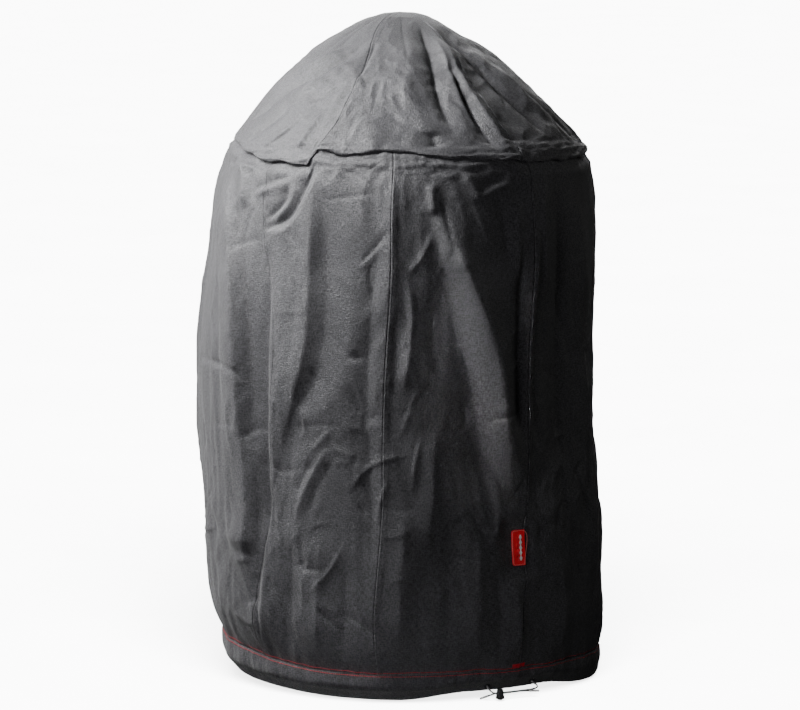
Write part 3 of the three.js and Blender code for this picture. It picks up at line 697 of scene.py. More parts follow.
# How far the skirt sinks behind the crown's edge, how much more it does at the left of the front,
# the linings' share of that, and the distance over which it fades.
LIP_GAP = 5.0
LEFT_LIP_GAP = 5.0
LIP_SPARE = 1.25
LIP_FADE = 8


def sewn_grid(columns, rows, first_angle, s_at, seam_angle, k):
    """A piece's grid between its two wandering seams: rows, angles, distances up the outline, heights,
    and the distances to the seam at its left and at its right."""
    u, v = np.meshgrid(columns, rows)
    angle = np.full(u.shape, first_angle)
    for _ in range(3):
        s = s_at(v, angle)
        h = height_at(s)
        left, right = seam_angle(k, h), seam_angle(k + 1, h)
        angle = left + (right - left) * u
    width = np.radians(right - left) * radius_at(s)
    return v, angle, s, h, u * width, (1 - u) * width


def skirt_panel(k):
    columns = edge_spaced(PANEL_WIDTH, GRID_STEP)
    rows = np.concatenate([
        np.linspace(0, 0.06, 14)[:-1],
        np.linspace(0.06, 0.93, int(PANEL_EVEN_LENGTH / GRID_STEP))[:-1],
        np.linspace(0.93, 1, 20),
    ])
    # Rows above 1 go up behind the crown's edge.
    rows = np.concatenate([rows, 1 + np.array([2.5, 6.0, 10.0]) / PANEL_LENGTH])
    middle = FIRST_SKIRT_SEAM + SKIRT_TURN * (k + 0.5)
    _, angle, s, h, left, right = sewn_grid(
        columns, rows, middle, lambda v, angle: v * shoulder_s(angle), skirt_seam_angle, k
    )
    radius = radius_at(s)
    below = shoulder_s(angle) - s
    offset = cloth_offset(angle, s) + seam_shape(left, right, s)
    gap = 0.75 + 0.5 * cloth_noise(np.radians(angle) * 7, 0.0, 0.0, 41)
    lip = LIP_GAP + LEFT_LIP_GAP * bump(angle, -52, 12, 8)
    offset += -lip * gap * np.exp(-np.clip(below, 0, None) / LIP_FADE)
    offset += 1.6 * np.exp(-(((below - 20) / 9) ** 2))
    angle = angle + np.degrees(lobe_shape(angle, s, radius, h)[1] / radius)
    points = revolve(angle, s, offset)
    inner = points - CLOTH_THICKNESS * grid_normals(points)
    coords = np.stack([np.radians(angle) * SKIRT_GIRTH_RADIUS, s], axis=-1)
    return grid_mesh(f"skirt_cloth_{PANEL_PLACES[k]}", points, inner, coords)


def crown_gore(k):
    """A gore, with its foot turned in and up behind its own edge in the rows below 0."""
    columns = edge_spaced(GORE_WIDTH, GRID_STEP)
    turned_up = np.array([8.0, 5.0, 2.0])
    first_rows = np.array([0, 0.8, 1.8, 3.2, 5, 7.5])
    up = np.linspace(0, 1, int(GORE_LENGTH / GRID_STEP))
    up = np.concatenate([first_rows / GORE_LENGTH, up[up > 9 / GORE_LENGTH]])
    up[-1] = 0.997
    rows = np.concatenate([-turned_up / GORE_LENGTH, up])
    middle = FIRST_CROWN_SEAM + CROWN_TURN * (k + 0.5)

    def distance(v, angle):
        edge = shoulder_s(angle)
        return edge + np.abs(v) * (TOTAL_S - edge)

    v, angle, s, _, left, right = sewn_grid(columns, rows, middle, distance, crown_seam_angle, k)
    first, last = crown_seam_angle(k, SHOULDER_HEIGHT), crown_seam_angle(k + 1, SHOULDER_HEIGHT)
    edge_angle = np.where(angle < middle, np.maximum(angle, first + 0.05), np.minimum(angle, last - 0.05))
    above = s - shoulder_s(edge_angle)
    seams = seam_shape(left, right, s) * smoothstep(radius_at(s), 4, 30)
    offset = cloth_offset(angle, np.maximum(s, shoulder_s(angle))) + seams
    offset += 1.8 * np.exp(-((above / 12) ** 2))
    offset -= 1.6 * np.exp(-((above / 1.3) ** 2))
    offset = np.where(v < 0, offset - 2.4, offset)
    points = revolve(angle, s, offset)
    normals = grid_normals(points)
    turned = (v < 0)[..., None]
    inner = points + CLOTH_THICKNESS * np.where(turned, 0.8 * normals, -normals)
    coords = np.stack([np.radians(angle) * CROWN_GIRTH_RADIUS, s], axis=-1)
    return grid_mesh(f"crown_cloth_{GORE_PLACES[k]}", points, inner, coords)


# Materials.
class Look:
    """A procedural material, built up as shader nodes in object space or in the cloth's own coordinates."""

    def __init__(self, name, colour, roughness, **sockets):
        self.material = bpy.data.materials.new(name)
        self.material.use_nodes = True
        self.colour = colour
        self.tree = self.material.node_tree
        self.shader = self.tree.nodes["Principled BSDF"]
        self.shader.inputs["Base Color"].default_value = (*colour, 1)
        self.shader.inputs["Roughness"].default_value = roughness
        for socket, value in sockets.items():
            self.shader.inputs[socket.replace("_", " ")].default_value = value

    def node(self, kind, inputs=None, **settings):
        node = self.tree.nodes.new(kind)
        for key, value in settings.items():
            setattr(node, key, value)
        for key, value in (inputs or {}).items():
            if isinstance(value, bpy.types.NodeSocket):
                self.tree.links.new(value, node.inputs[key])
            else:
                node.inputs[key].default_value = value
        return node

    def ramp(self, source, low, high, dark, light):
        """Maps a value from low..high to dark..light."""
        ends = {"Value": source, "From Min": low, "From Max": high, "To Min": dark, "To Max": light}
        return self.node("ShaderNodeMapRange", ends).outputs["Result"]

    def combine(self, operation, first, second):
        return self.node("ShaderNodeMath", {0: first, 1: second}, operation=operation).outputs[0]

    def grain(self, place, scale, detail, roughness):
        sockets = {"Vector": place, "Scale": scale, "Detail": detail, "Roughness": roughness}
        return self.node("ShaderNodeTexNoise", sockets).outputs["Fac"]

    def object_place(self):
        return self.node("ShaderNodeTexCoord").outputs["Object"]

    def finish(self, tone, gloss, height, strength, distance):
        """Joins the colour's tone, the roughness and the relief to the shader."""
        paint = self.node("ShaderNodeVectorMath", {0: self.colour, "Scale": tone}, operation="SCALE")
        relief = self.node("ShaderNodeBump", {"Strength": strength, "Distance": distance, "Height": height})
        self.tree.links.new(paint.outputs[0], self.shader.inputs["Base Color"])
        self.tree.links.new(gloss, self.shader.inputs["Roughness"])
        self.tree.links.new(relief.outputs["Normal"], self.shader.inputs["Normal"])
        return self.material


def canvas_material(name, colour, weave_pitch=0.0014):
    """Coated woven canvas: crossed threads, a speckle of grain whose bright thread tops are painted glints,
    and rubbed patches.
    """
    look = Look(name, colour, 0.5, Sheen_Weight=0.15, Sheen_Roughness=0.45, Specular_IOR_Level=0.6)
    uv = look.node("ShaderNodeUVMap", uv_map="cloth").outputs[0]
    slubs, threads = [], []
    for stretch in ((760, 150, 1), (150, 760, 1)):
        scaled = look.node("ShaderNodeVectorMath", {0: uv, 1: stretch}, operation="MULTIPLY")
        slubs.append(look.grain(scaled.outputs[0], 1.0, 1.0, 0.5))
    bands = {"Vector": uv, "Scale": 2 * math.pi / (20 * weave_pitch), "Distortion": 1.4, "Detail": 1.0,
             "Detail Scale": 0.6}
    for direction in ("X", "Y"):
        wave = look.node("ShaderNodeTexWave", bands, wave_type="BANDS", bands_direction=direction)
        threads.append(wave.outputs["Fac"])
    slub = look.combine("MULTIPLY", look.combine("ADD", *slubs), 0.5)
    weave = look.combine("MULTIPLY", *threads)
    at = look.object_place()
    grain = look.grain(at, 380.0, 2.0, 0.6)
    patches = look.grain(at, 14.0, 6.0, 0.62)
    coarse = look.combine("ADD", look.combine("MULTIPLY", grain, 0.35), look.combine("MULTIPLY", slub, 0.65))
    # Brighter and darker specks in the colour: part grain, part painted glints of the thread tops.
    grain_and_painted_glints = look.ramp(coarse, 0.4, 0.6, 0.5, 1.68)
    rubbed = look.ramp(patches, 0.3, 0.72, 0.86, 1.16)
    thread_tone = look.ramp(weave, 0.0, 0.8, 0.82, 1.12)
    tone = look.combine("MULTIPLY", look.combine("MULTIPLY", grain_and_painted_glints, rubbed), thread_tone)
    gloss = look.ramp(coarse, 0.42, 0.58, 0.66, 0.46)
    height = look.combine("ADD", look.combine("MULTIPLY", weave, 0.15), coarse)
    return look.finish(tone, gloss, height, 1.0, 0.0015)


def grained_material(name, colour, roughness, scale, depth, contrast=0.2, **sockets):
    """Any small part: a mottled colour, uneven gloss and a fine relief."""
    look = Look(name, colour, roughness, **sockets)
    grain = look.grain(look.object_place(), scale, 4.0, 0.6)
    tone = look.ramp(grain, 0.3, 0.7, 1 - contrast, 1 + contrast)
    gloss = look.ramp(grain, 0.3, 0.7, roughness * 0.85, min(1, roughness * 1.15))
    return look.finish(tone, gloss, grain, 0.4, depth)


CANVAS = canvas_material("canvas", (0.040, 0.0395, 0.0435))
LINING = canvas_material("lining_tape", (0.03, 0.03, 0.032), 0.0009)
THREAD = grained_material("red_thread", (0.42, 0.018, 0.03), 0.6, 1800, 0.0002)
DARK_THREAD = grained_material("dark_thread", (0.02, 0.02, 0.022), 0.55, 1800, 0.0002)
CORD = grained_material("cord", (0.17, 0.17, 0.175), 0.6, 1500, 0.0003, Sheen_Weight=0.3)
LOCK_PLASTIC = grained_material("lock_plastic", (0.035, 0.035, 0.037), 0.38, 900, 0.00008)
TIP_PLASTIC = grained_material("tip_plastic", (0.86, 0.86, 0.85), 0.4, 700, 0.00008, 0.08)
SPRING_STEEL = grained_material("spring_steel", (0.45, 0.45, 0.46), 0.3, 1200, 0.00003, Metallic=1.0)
EYELET_METAL = grained_material("eyelet_metal", (0.06, 0.06, 0.065), 0.35, 800, 0.00005, Metallic=0.9)
LABEL_RED = grained_material("label_red", (0.80, 0.018, 0.03), 0.42, 900, 0.00012, 0.12)
# The label's rim is paler than the tab: a painted highlight along its raised edge.
LABEL_RIM_PAINTED_HIGHLIGHT = grained_material("label_rim_painted_highlight", (0.95, 0.30, 0.28), 0.4, 900, 0.00008, 0.1)
LABEL_PALE = grained_material("label_pale", (0.85, 0.82, 0.8), 0.45, 900, 0.00008, 0.06)


def dress(obj, material, slot, body="cover", *nodes):
    """Gives a piece its material and body, and hides the CAD nodes that it stands for."""
    obj.data.materials.append(material)
    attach(obj, body)
    if nodes:
        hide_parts(*nodes)
    return obj


HEM_FLAT = (1.95, 0.13)


def build_cloth():
    for k, side in enumerate(PANEL_PLACES):
        panel = dress(skirt_panel(k), CANVAS, "cloth", "cover", f"skirt_panel_{side}")
    for k, side in enumerate(GORE_PLACES):
        gore = dress(crown_gore(k), CANVAS, "cloth", "cover", f"crown_gore_{side}")


# The hem: a folded tunnel sewn to the foot of the skirt, with the drawcord in it.
# Closed sections of the folded tunnel as (radius, height): at the front, at the cord lock and where it hangs.
# All three share the tuck under the hem seam, and the first two their way back up inside.
HEM_TOP = [(299.6, 53), (299.8, 49), (301.0, 47.4), (302.6, 46)]
HEM_INSIDE = [(266.5, 3.2), (270, 11), (282, 26), (293, 40), (297, 50)]
HEM_FRONT = [
    *HEM_TOP, (303.6, 41), (304.0, 33), (303.4, 26), (301.2, 21), (295, 15.5), (287, 8.5), (281, 3.5),
    (276, 0.8), (270, 0.2), *HEM_INSIDE,
]
HEM_TUCKED = [
    *HEM_TOP, (303.6, 42), (303.8, 35), (303.2, 28), (299, 22.6), (291.5, 14), (286, 7.7), (281.5, 2.4),
    (277.5, 0.3), (270, 0.1), *HEM_INSIDE,
]
HEM_HANGING = [
    *HEM_TOP, (303.4, 41), (303.6, 33), (303.4, 24), (303.2, 14), (302.8, 5), (300.5, 0.8), (296, 0.2),
    (292, 1.2), (290.6, 5), (291, 12), (292, 22), (293.4, 32), (295, 43), (297, 50),
]
HEM_COLUMNS = 900
HEM_SECTION_POINTS = 54
HEM_THICKNESS = 1.0
TUNNEL_CORD = {"radius": 288.5, "hanging_radius": 297.5, "height": 20, "thin": 0.96, "end_turn": 1.2}
CORD_RADIUS = 1.3
CORD_EXITS = {"left": 24.2, "right": 41.075}


def hanging_share(angle):
    return bump(angle, 100, 16, 34)


def closed_section(knots, count):
    """Evenly spaced points round a smooth closed section."""
    knots = np.array(knots, float)
    wrapped = np.concatenate([knots[-3:], knots, knots[:3]])
    chord = np.concatenate([[0], np.cumsum(np.hypot(*np.diff(wrapped, axis=0).T))])
    at = np.linspace(chord[3], chord[-3], count, endpoint=False)
    return np.stack([spline(at, list(zip(chord, wrapped[:, k]))) for k in (0, 1)], axis=-1)


def hem_sections(angle):
    """Sections of the hem at each angle, as an array of (columns, section points, 2)."""
    shapes = (HEM_FRONT, HEM_TUCKED, HEM_HANGING)
    front, tucked, hanging = (closed_section(knots, HEM_SECTION_POINTS) for knots in shapes)
    tuck = bump(angle, CORD_TUCK["angle"], CORD_TUCK["plateau"] + 2, 14)[:, None, None]
    hang = hanging_share(angle)[:, None, None]
    return front * (1 - tuck) * (1 - hang) + tucked * tuck * (1 - hang) + hanging * hang


def hem_offset(angle):
    return cloth_offset(angle, np.zeros(np.shape(angle)))


def hem_detail(angle, h):
    """Small gathers by the cord lock and wrinkles all round, fading out at the hem seam."""
    turn = np.radians(angle)
    small = cloth_noise(turn * HEM_GIRTH_RADIUS / 6.5, h / 60, 2.5, 16)
    wrinkle = cloth_noise(turn * HEM_GIRTH_RADIUS / 26, h / 22, 7.5, 18)
    return (2.3 * bump(angle, 21, 9, 14) * small + 1.3 * wrinkle) * smoothstep(50 - h, 0, 8)


def hem_surface(angle, section):
    """Points of the hem: its outer side follows the skirt's foot and has the small gathers."""
    r, h = section[..., 0], section[..., 1]
    outer = smoothstep(r, 285, 302) * smoothstep(h, 2, 30)
    follow = hem_offset(angle)[:, None] * (0.35 + 0.65 * outer)
    angle = angle[:, None]
    calm = 1 - bump(angle, 32.3, 12, 5) * (1 - smoothstep(h, 24, 34))
    return place(angle, r + follow * calm + hem_detail(angle, h) * outer, h)


def tube_quads(rings, wrap=False):
    """Quads over rings of points (rings, points, 3); wrap joins the last ring to the first."""
    count, points = rings.shape[:2]
    index = np.arange(count * points).reshape(count, points)
    index = np.concatenate([index, index[:, :1]], axis=1)
    if wrap:
        index = np.concatenate([index, index[:1]])
    return np.stack([index[:-1, :-1], index[:-1, 1:], index[1:, 1:], index[1:, :-1]], axis=-1).reshape(-1, 4)


def shell_offset(section, distance):
    """A closed section moved inwards by a distance."""
    along = np.roll(section, -1, axis=1) - np.roll(section, 1, axis=1)
    along /= np.linalg.norm(along, axis=-1, keepdims=True)
    normal = np.stack([along[..., 1], -along[..., 0]], axis=-1)
    return section + distance * normal


def hem_casing():
    angle = np.linspace(-180, 180, HEM_COLUMNS, endpoint=False)
    section = hem_sections(angle)
    outer = hem_surface(angle, section)
    inner = hem_surface(angle, shell_offset(section, HEM_THICKNESS))
    faces = tube_quads(outer, wrap=True)
    faces = np.concatenate([faces, faces[:, ::-1] + angle.size * HEM_SECTION_POINTS])
    points = np.concatenate([outer.reshape(-1, 3), inner.reshape(-1, 3)])
    along = np.linspace(0, 1000 * HEM_FLAT[1], HEM_SECTION_POINTS)
    across = np.radians(angle) * SKIRT_GIRTH_RADIUS
    coords = np.stack(np.broadcast_arrays(across[:, None], along[None, :] - 60), axis=-1)
    return faces_mesh("hem_tunnel", points, faces, np.tile(coords.reshape(-1, 2), (2, 1)))


def tube_rings(path, radius, sides, relief=None):
    """Rings of points round a path of points in millimetres; relief scales the radius at each point."""
    path = np.asarray(path, float)
    tangent = np.gradient(path, axis=0)
    tangent /= np.linalg.norm(tangent, axis=1)[:, None]
    side = np.cross(tangent, (0, 0, 1))
    side /= np.maximum(np.linalg.norm(side, axis=1)[:, None], 1e-6)
    for k in range(1, len(side)):
        side[k] = side[k - 1] - tangent[k] * (side[k - 1] @ tangent[k])
        side[k] /= np.linalg.norm(side[k])
    up = np.cross(side, tangent)
    turn = np.linspace(0, 2 * np.pi, sides, endpoint=False)
    size = np.full((len(path), sides), float(radius))
    if relief is not None:
        size *= relief(np.arange(len(path))[:, None], turn[None, :])
    return (path[:, None] + side[:, None] * (np.cos(turn)[None, :] * size)[..., None]
            + up[:, None] * (np.sin(turn)[None, :] * size)[..., None])


def tube_piece(name, path, radius, sides, relief=None):
    """A closed tube along a path, with its ends capped by a small ring and a centre point each."""
    rings = tube_rings(path, radius, sides, relief)
    count = len(rings)
    quads = tube_quads(rings)
    points = np.concatenate([rings.reshape(-1, 3), [path[0]], [path[-1]]])
    first = np.arange(sides)
    last = first + (count - 1) * sides
    centre = count * sides
    caps = [np.stack([np.roll(first, -1), first, np.full(sides, centre)], -1),
            np.stack([last, np.roll(last, -1), np.full(sides, centre + 1)], -1)]
    mesh = bpy.data.meshes.new(name)
    mesh.from_pydata(to_frame(points).tolist(), [], quads.tolist() + caps[0].tolist() + caps[1].tolist())
    mesh.polygons.foreach_set("use_smooth", np.ones(len(mesh.polygons), bool))
    return add_object(name, mesh)


BRAID = {"strands": 3, "lean": 0.30, "groove": 0.93, "rise": 0.09}


def braid(row, turn):
    """Relief of a round braid: two sets of strands that wind opposite ways."""
    lean = row * BRAID["lean"]
    first = np.abs(np.sin(BRAID["strands"] * turn + lean))
    second = np.abs(np.sin(BRAID["strands"] * turn - lean))
    return BRAID["groove"] + BRAID["rise"] * np.maximum(first, second)


def smooth_path(points, step):
    """Evenly stepped points along a smooth line through the given ones."""
    points = np.array(points, float)
    chord = np.concatenate([[0], np.cumsum(np.linalg.norm(np.diff(points, axis=0), axis=1))])
    at = np.linspace(0, chord[-1], max(2, int(chord[-1] / step)))
    return np.stack([spline(at, list(zip(chord, points[:, k]))) for k in range(3)], axis=-1)


def tunnel_cord():
    """The drawcord in the hem, from the right eyelet round the back to the left one."""
    end_turn = TUNNEL_CORD["end_turn"]
    angle = np.linspace(CORD_EXITS["right"] + end_turn, CORD_EXITS["left"] - end_turn + 360, 700)
    r = TUNNEL_CORD["radius"] + (TUNNEL_CORD["hanging_radius"] - TUNNEL_CORD["radius"]) * hanging_share(angle)
    path = place(angle, r, TUNNEL_CORD["height"] + 0 * r)
    return tube_piece("drawcord_in_tunnel", path, CORD_RADIUS * TUNNEL_CORD["thin"], 10)


# A stitch fills a share of its pitch and rises a share of its radius; each is a little out of place and line.
STITCH_PITCH = 3.4
STITCH = {"fill": 0.86, "rise": 0.15, "stray": 0.12, "skew": 0.05}
RED_STITCH_RADIUS = 0.5
TOPSTITCH = {"radius": 0.24, "beside_seam": 2.6, "standoff": 0.38}
BARTACK = {"pitch": 0.55, "radius": 312, "standoff": 0.35, "zigzag": 0.12, "height": 1.3}


def stitch_mesh(name, centres, along, across, length, radius):
    """Many short rounded stitches: each lies along its own direction, bowed over the cloth."""
    ring = 6
    stations = np.array([-0.5, -0.42, -0.2, 0.2, 0.42, 0.5])
    thick = np.array([0.25, 0.75, 1.0, 1.0, 0.75, 0.25]) * radius
    turn = np.linspace(0, 2 * np.pi, ring, endpoint=False)
    up = np.cross(along, across)
    bow = (0.25 - stations**2) * radius * 1.6
    points = (
        centres[:, None, None]
        + along[:, None, None] * (stations * length)[None, :, None, None]
        + across[:, None, None] * (np.cos(turn)[None, :] * thick[:, None])[None, ..., None]
        + up[:, None, None] * (np.sin(turn)[None, :] * thick[:, None] * 0.8 + bow[:, None])[None, ..., None]
    )
    one = tube_quads(points[0])
    per = len(stations) * ring
    faces = (one[None] + (np.arange(len(centres)) * per)[:, None, None]).reshape(-1, 4)
    ends = np.array([[0, 1, 2, 3], [0, 3, 4, 5]])
    caps = np.concatenate([ends, ends[:, ::-1] + per - ring])
    caps = (caps[None] + (np.arange(len(centres)) * per)[:, None, None]).reshape(-1, 4)
    return faces_mesh(name, points.reshape(-1, 3), np.concatenate([faces, caps]))


def stitches_along(name, surface, line, radius, seed):
    """Evenly spaced stitches along a line on the cloth; surface(angle, s) gives its points."""
    rng = np.random.default_rng(seed)
    angle, s = line
    points = surface(angle, s)
    walked = np.concatenate([[0], np.cumsum(np.linalg.norm(np.diff(points, axis=0), axis=1))])
    count = int(walked[-1] / STITCH_PITCH)
    at = (np.arange(count) + 0.5) * STITCH_PITCH + rng.normal(0, STITCH["stray"], count)
    angle, s = np.interp(at, walked, angle), np.interp(at, walked, s)
    centres = np.stack([np.interp(at, walked, points[:, k]) for k in range(3)], axis=-1)
    before = np.stack([np.interp(at - 1, walked, points[:, k]) for k in range(3)], axis=-1)
    along = unit(centres - before)
    level = unit(surface(angle + 0.25, s) - surface(angle - 0.25, s))
    rise = unit(surface(angle, s + 1) - surface(angle, s - 1))
    normal = unit(np.cross(level, rise))
    across = unit(np.cross(normal, along))
    along = unit(along + across * rng.normal(0, STITCH["skew"], count)[:, None])
    raised = centres + normal * radius * STITCH["rise"]
    return stitch_mesh(name, raised, along, across, STITCH_PITCH * STITCH["fill"], radius)


def skirt_surface(angle, s):
    return revolve(angle, s, cloth_offset(angle, s))


def hem_wall(angle, h):
    """Points of the hem's outer wall, at heights below the hem seam."""
    outer = hem_sections(angle)[:, : HEM_SECTION_POINTS // 2]
    r = np.array([np.interp(-y, -row[:, 1], row[:, 0]) for y, row in zip(h, outer)])
    return place(angle, r + hem_offset(angle) + hem_detail(angle, h), h)


HEM_ROWS = {"upper": (skirt_surface, 4.0), "lower": (hem_wall, 44.0)}


def hem_stitches():
    """The two red rows: just above the hem seam on the skirt, and just below it on the hem."""
    angle = np.linspace(-179.9, 179.9, 4000)
    for seed, (row, (surface, level)) in enumerate(HEM_ROWS.items(), start=1):
        line = (angle, np.full(angle.shape, level))
        stitches = stitches_along(f"hem_red_stitches_{row}", surface, line, RED_STITCH_RADIUS, seed)
        dress(stitches, THREAD, "thread", "cover", f"hem_stitch_{row}")


def bartack():
    """A dense zigzag over the foot of the label's seam, a little taller than the node that it covers."""
    points = node_points("hem_bartack")
    middle = (points.min(0) + points.max(0)) / 2
    seam = skirt_seam_angle(LABEL_SEAM, HEM_SEAM)
    width = np.ptp(points @ np.cross((0, 0, 1), facing(seam)))
    height = np.ptp(points[:, 2])
    count = int(width / BARTACK["pitch"])
    along_hem = (np.arange(count) / (count - 1) - 0.5) * width
    angle = seam + np.degrees(along_hem / BARTACK["radius"])
    s = np.full(count, middle[2] - HEM_SEAM - hem_rise(seam, middle[2]))
    centres = revolve(angle, s, cloth_offset(angle, s) + BARTACK["standoff"])
    rise = unit(skirt_surface(angle, s + 2) - skirt_surface(angle, s - 2))
    level = unit(skirt_surface(angle + 0.3, s) - skirt_surface(angle - 0.3, s))
    zigzag = np.where(np.arange(count) % 2, 1, -1)[:, None] * level * BARTACK["zigzag"]
    along = unit(rise + zigzag)
    length = height * BARTACK["height"]
    tack = stitch_mesh("hem_red_bartack", centres, along, level, length, RED_STITCH_RADIUS)
    dress(tack, THREAD, "thread", "cover", "hem_bartack")


def topstitch_surface(angle, s):
    return revolve(angle, s, cloth_offset(angle, s) + TOPSTITCH["standoff"])


def topstitch(name, seam_angle, k, h, seed):
    """A dark row along the felled band of one seam."""
    s = s_at_height(h)
    angle = seam_angle(k, h) + np.degrees(TOPSTITCH["beside_seam"] / radius_at(s))
    row = stitches_along(name, topstitch_surface, (angle, s), TOPSTITCH["radius"], seed)
    dress(row, DARK_THREAD, "thread")


def seam_stitches():
    for k, side in enumerate(PANEL_PLACES):
        h = np.linspace(HEM_SEAM + 8, 845, 1200)
        topstitch(f"skirt_topstitch_{side}", skirt_seam_angle, k, h, 30 + k)
    for k, side in enumerate(GORE_PLACES):
        h = np.linspace(892, APEX_HEIGHT - 12, 900)
        topstitch(f"crown_topstitch_{side}", crown_seam_angle, k, h, 50 + k)


TAPE = {"width": 14.0, "gap": 0.35, "thickness": 0.6}
BINDING = {"top": -4, "foot": -18, "gap": 1.6, "thickness": 0.8}
PATCH = {"reach": 60, "gap": 1.2, "thickness": 1.0}


def behind_lip(below):
    """How far the linings sink with the skirt, at a distance below the crown's edge."""
    return LIP_GAP * LIP_SPARE * np.exp(-below / LIP_FADE)


def lining_shell(name, node, angle, s, sunk, size, coords, wrap=False):
    """A thin layer that follows the cloth from inside, a gap and any extra depth below its inner face."""
    outer = revolve(angle, s, cloth_offset(angle, s) - CLOTH_THICKNESS - sunk - size["gap"])
    inner = outer - size["thickness"] * grid_normals(outer)
    dress(grid_mesh(name, outer, inner, np.stack(coords, axis=-1), wrap), LINING, "lining", "cover", node)


def seam_tape(place, number, seam_angle, low, high):
    """A tape on the inner side of a seam, from one distance up the outline to another."""
    rows = np.linspace(low, high, int((high - low) / 6))
    across = np.linspace(-TAPE["width"] / 2, TAPE["width"] / 2, 9)
    d, s = np.meshgrid(across, rows)
    angle = seam_angle(number - 1, height_at(s)) + np.degrees(d / radius_at(s))
    sunk = SEAM_DEPTH * np.exp(-((d / 2.5) ** 2))
    if seam_angle is skirt_seam_angle:
        sunk = sunk + behind_lip(np.clip(shoulder_s(angle) - s, 0, None))
    name, node = f"{place}_tape_{number}", f"{place}_seam_tape_{number}"
    lining_shell(name, node, angle, s, sunk, TAPE, [d, s])


def build_tapes():
    for k in range(SKIRT_SEAMS):
        seam_tape("skirt", k + 1, skirt_seam_angle, 6, s_at_height(842))
    for k in range(CROWN_SEAMS):
        seam_tape("crown", k + 1, crown_seam_angle, s_at_height(900), TOTAL_S - 62)


def shoulder_binding():
    around_shoulder = np.linspace(-180, 180, 720, endpoint=False)
    angle, d = np.meshgrid(around_shoulder, np.linspace(BINDING["foot"], BINDING["top"], 8))
    s = shoulder_s(angle) + d
    sunk = behind_lip(-d)
    coords = [np.radians(angle) * SHOULDER_RADIUS, s]
    lining_shell("shoulder_inner_binding", "shoulder_binding", angle, s, sunk, BINDING, coords, True)


def apex_patch():
    around_apex = np.linspace(-180, 180, 160, endpoint=False)
    angle, d = np.meshgrid(around_apex, np.linspace(PATCH["reach"], 1.5, 26))
    coords = [d * np.sin(np.radians(angle)), d * np.cos(np.radians(angle))]
    lining_shell("apex_inner_patch", "crown_patch", angle, TOTAL_S - d, 0, PATCH, coords, True)


def build_hem():
    hem = dress(hem_casing(), CANVAS, "cloth", "cover", "hem_casing")
    dress(tunnel_cord(), CORD, "cord", "cover", "drawcord_in_hem")
    hem_stitches()
    bartack()


# The cord's free ends: from inside the hem, out of an eyelet, straight through the lock and on to the tip.
# Routes are in the lock's own frame.
LOCK_TURN = 31.8
STRAND_HEIGHT = 10.2
LEFT_STRAND, RIGHT_STRAND = -301.45, -298.55
LEFT_ROUTE = [
    (-38.2, -286.2, 26.2), (-38.5, -288.3, 23.8), (-38.8, -290.7, 21), (-38, -294.2, 17),
    (-35.4, -297.8, 13.6), (-31.6, -300.5, 11.1),
    *((x, LEFT_STRAND, STRAND_HEIGHT) for x in (-27.5, -22, -14, -6, 2, 10, 17)),
    (22, -301.9, 10), (27, -302.7, 9.7), (32, -303.6, 9.4),
]
RIGHT_ROUTE = [
    (46.6, -285, 26.2), (46.9, -287.1, 23.8), (47.4, -289.6, 21), (49.4, -293.2, 18.4), (52, -296.4, 16.2),
    (51.8, -298.8, 13.6), (47.8, -299.4, 11.6), (42, -298.8, 10.6),
    *((x, RIGHT_STRAND, STRAND_HEIGHT) for x in (35, 25, 15, 5, -5, -15, -24, -29)),
    (-32.5, -297.4, 9.3), (-35, -294.6, 7.6), (-36.4, -291.4, 6.2),
]
HEM_SHIFT = LEAN[0][1]


def cord_route(route):
    """A route turned from the lock's frame into the object's, in millimetres."""
    turn = math.radians(LOCK_TURN)
    route = np.array(route, float)
    x = route[:, 0] * math.cos(turn) - route[:, 1] * math.sin(turn) + HEM_SHIFT
    y = route[:, 0] * math.sin(turn) + route[:, 1] * math.cos(turn)
    return np.stack([x, y, route[:, 2]], axis=-1)


def cord_end(side, route):
    path = smooth_path(cord_route(route), 0.35)
    piece = tube_piece(f"cord_end_{side}", path, CORD_RADIUS, 24, braid)
    dress(piece, CORD, "cord", "cover", f"drawcord_{side}_end")
    world = to_frame(path)
    tuple(world[0])


def build_cords():
    cord_end("left", LEFT_ROUTE)
    cord_end("right", RIGHT_ROUTE)


def soften_edges(node, material, width, segments=3):
    """A CAD node gets its finish, rounded edges and smooth shading."""
    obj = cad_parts[node]
    obj.data.materials.clear()
    obj.data.materials.append(material)
    bevel = obj.modifiers.new("edges", "BEVEL")
    bevel.width = width * MM
    bevel.segments = segments
    bevel.limit_method = "ANGLE"
    bevel.angle_limit = math.radians(32)
    for polygon in obj.data.polygons:
        polygon.use_smooth = True
    normals = obj.modifiers.new("normals", "WEIGHTED_NORMAL")
    normals.keep_sharp = True


def build_fittings():
    soften_edges("cord_lock_body", LOCK_PLASTIC, 0.35)
    soften_edges("cord_lock_plunger", LOCK_PLASTIC, 0.3)
    soften_edges("cord_lock_spring", SPRING_STEEL, 0.02, 1)
    for side in ("left", "right"):
        soften_edges(f"eyelet_{side}", EYELET_METAL, 0.15)
        soften_edges(f"cord_tip_{side}", TIP_PLASTIC, 0.3)


# The side label.
LABEL_CORNER = 5.0
LABEL_RIM = {"inset": 1.7, "width": 0.55}
# The tab's section as (distance in from its edge, depth), from its back round to its face.
LABEL_SECTION = [(0, -0.35), (0.12, -0.14), (0.35, 0), (1.1, 0.05), (1.5, -0.12), (3, -0.14), (6, -0.14)]


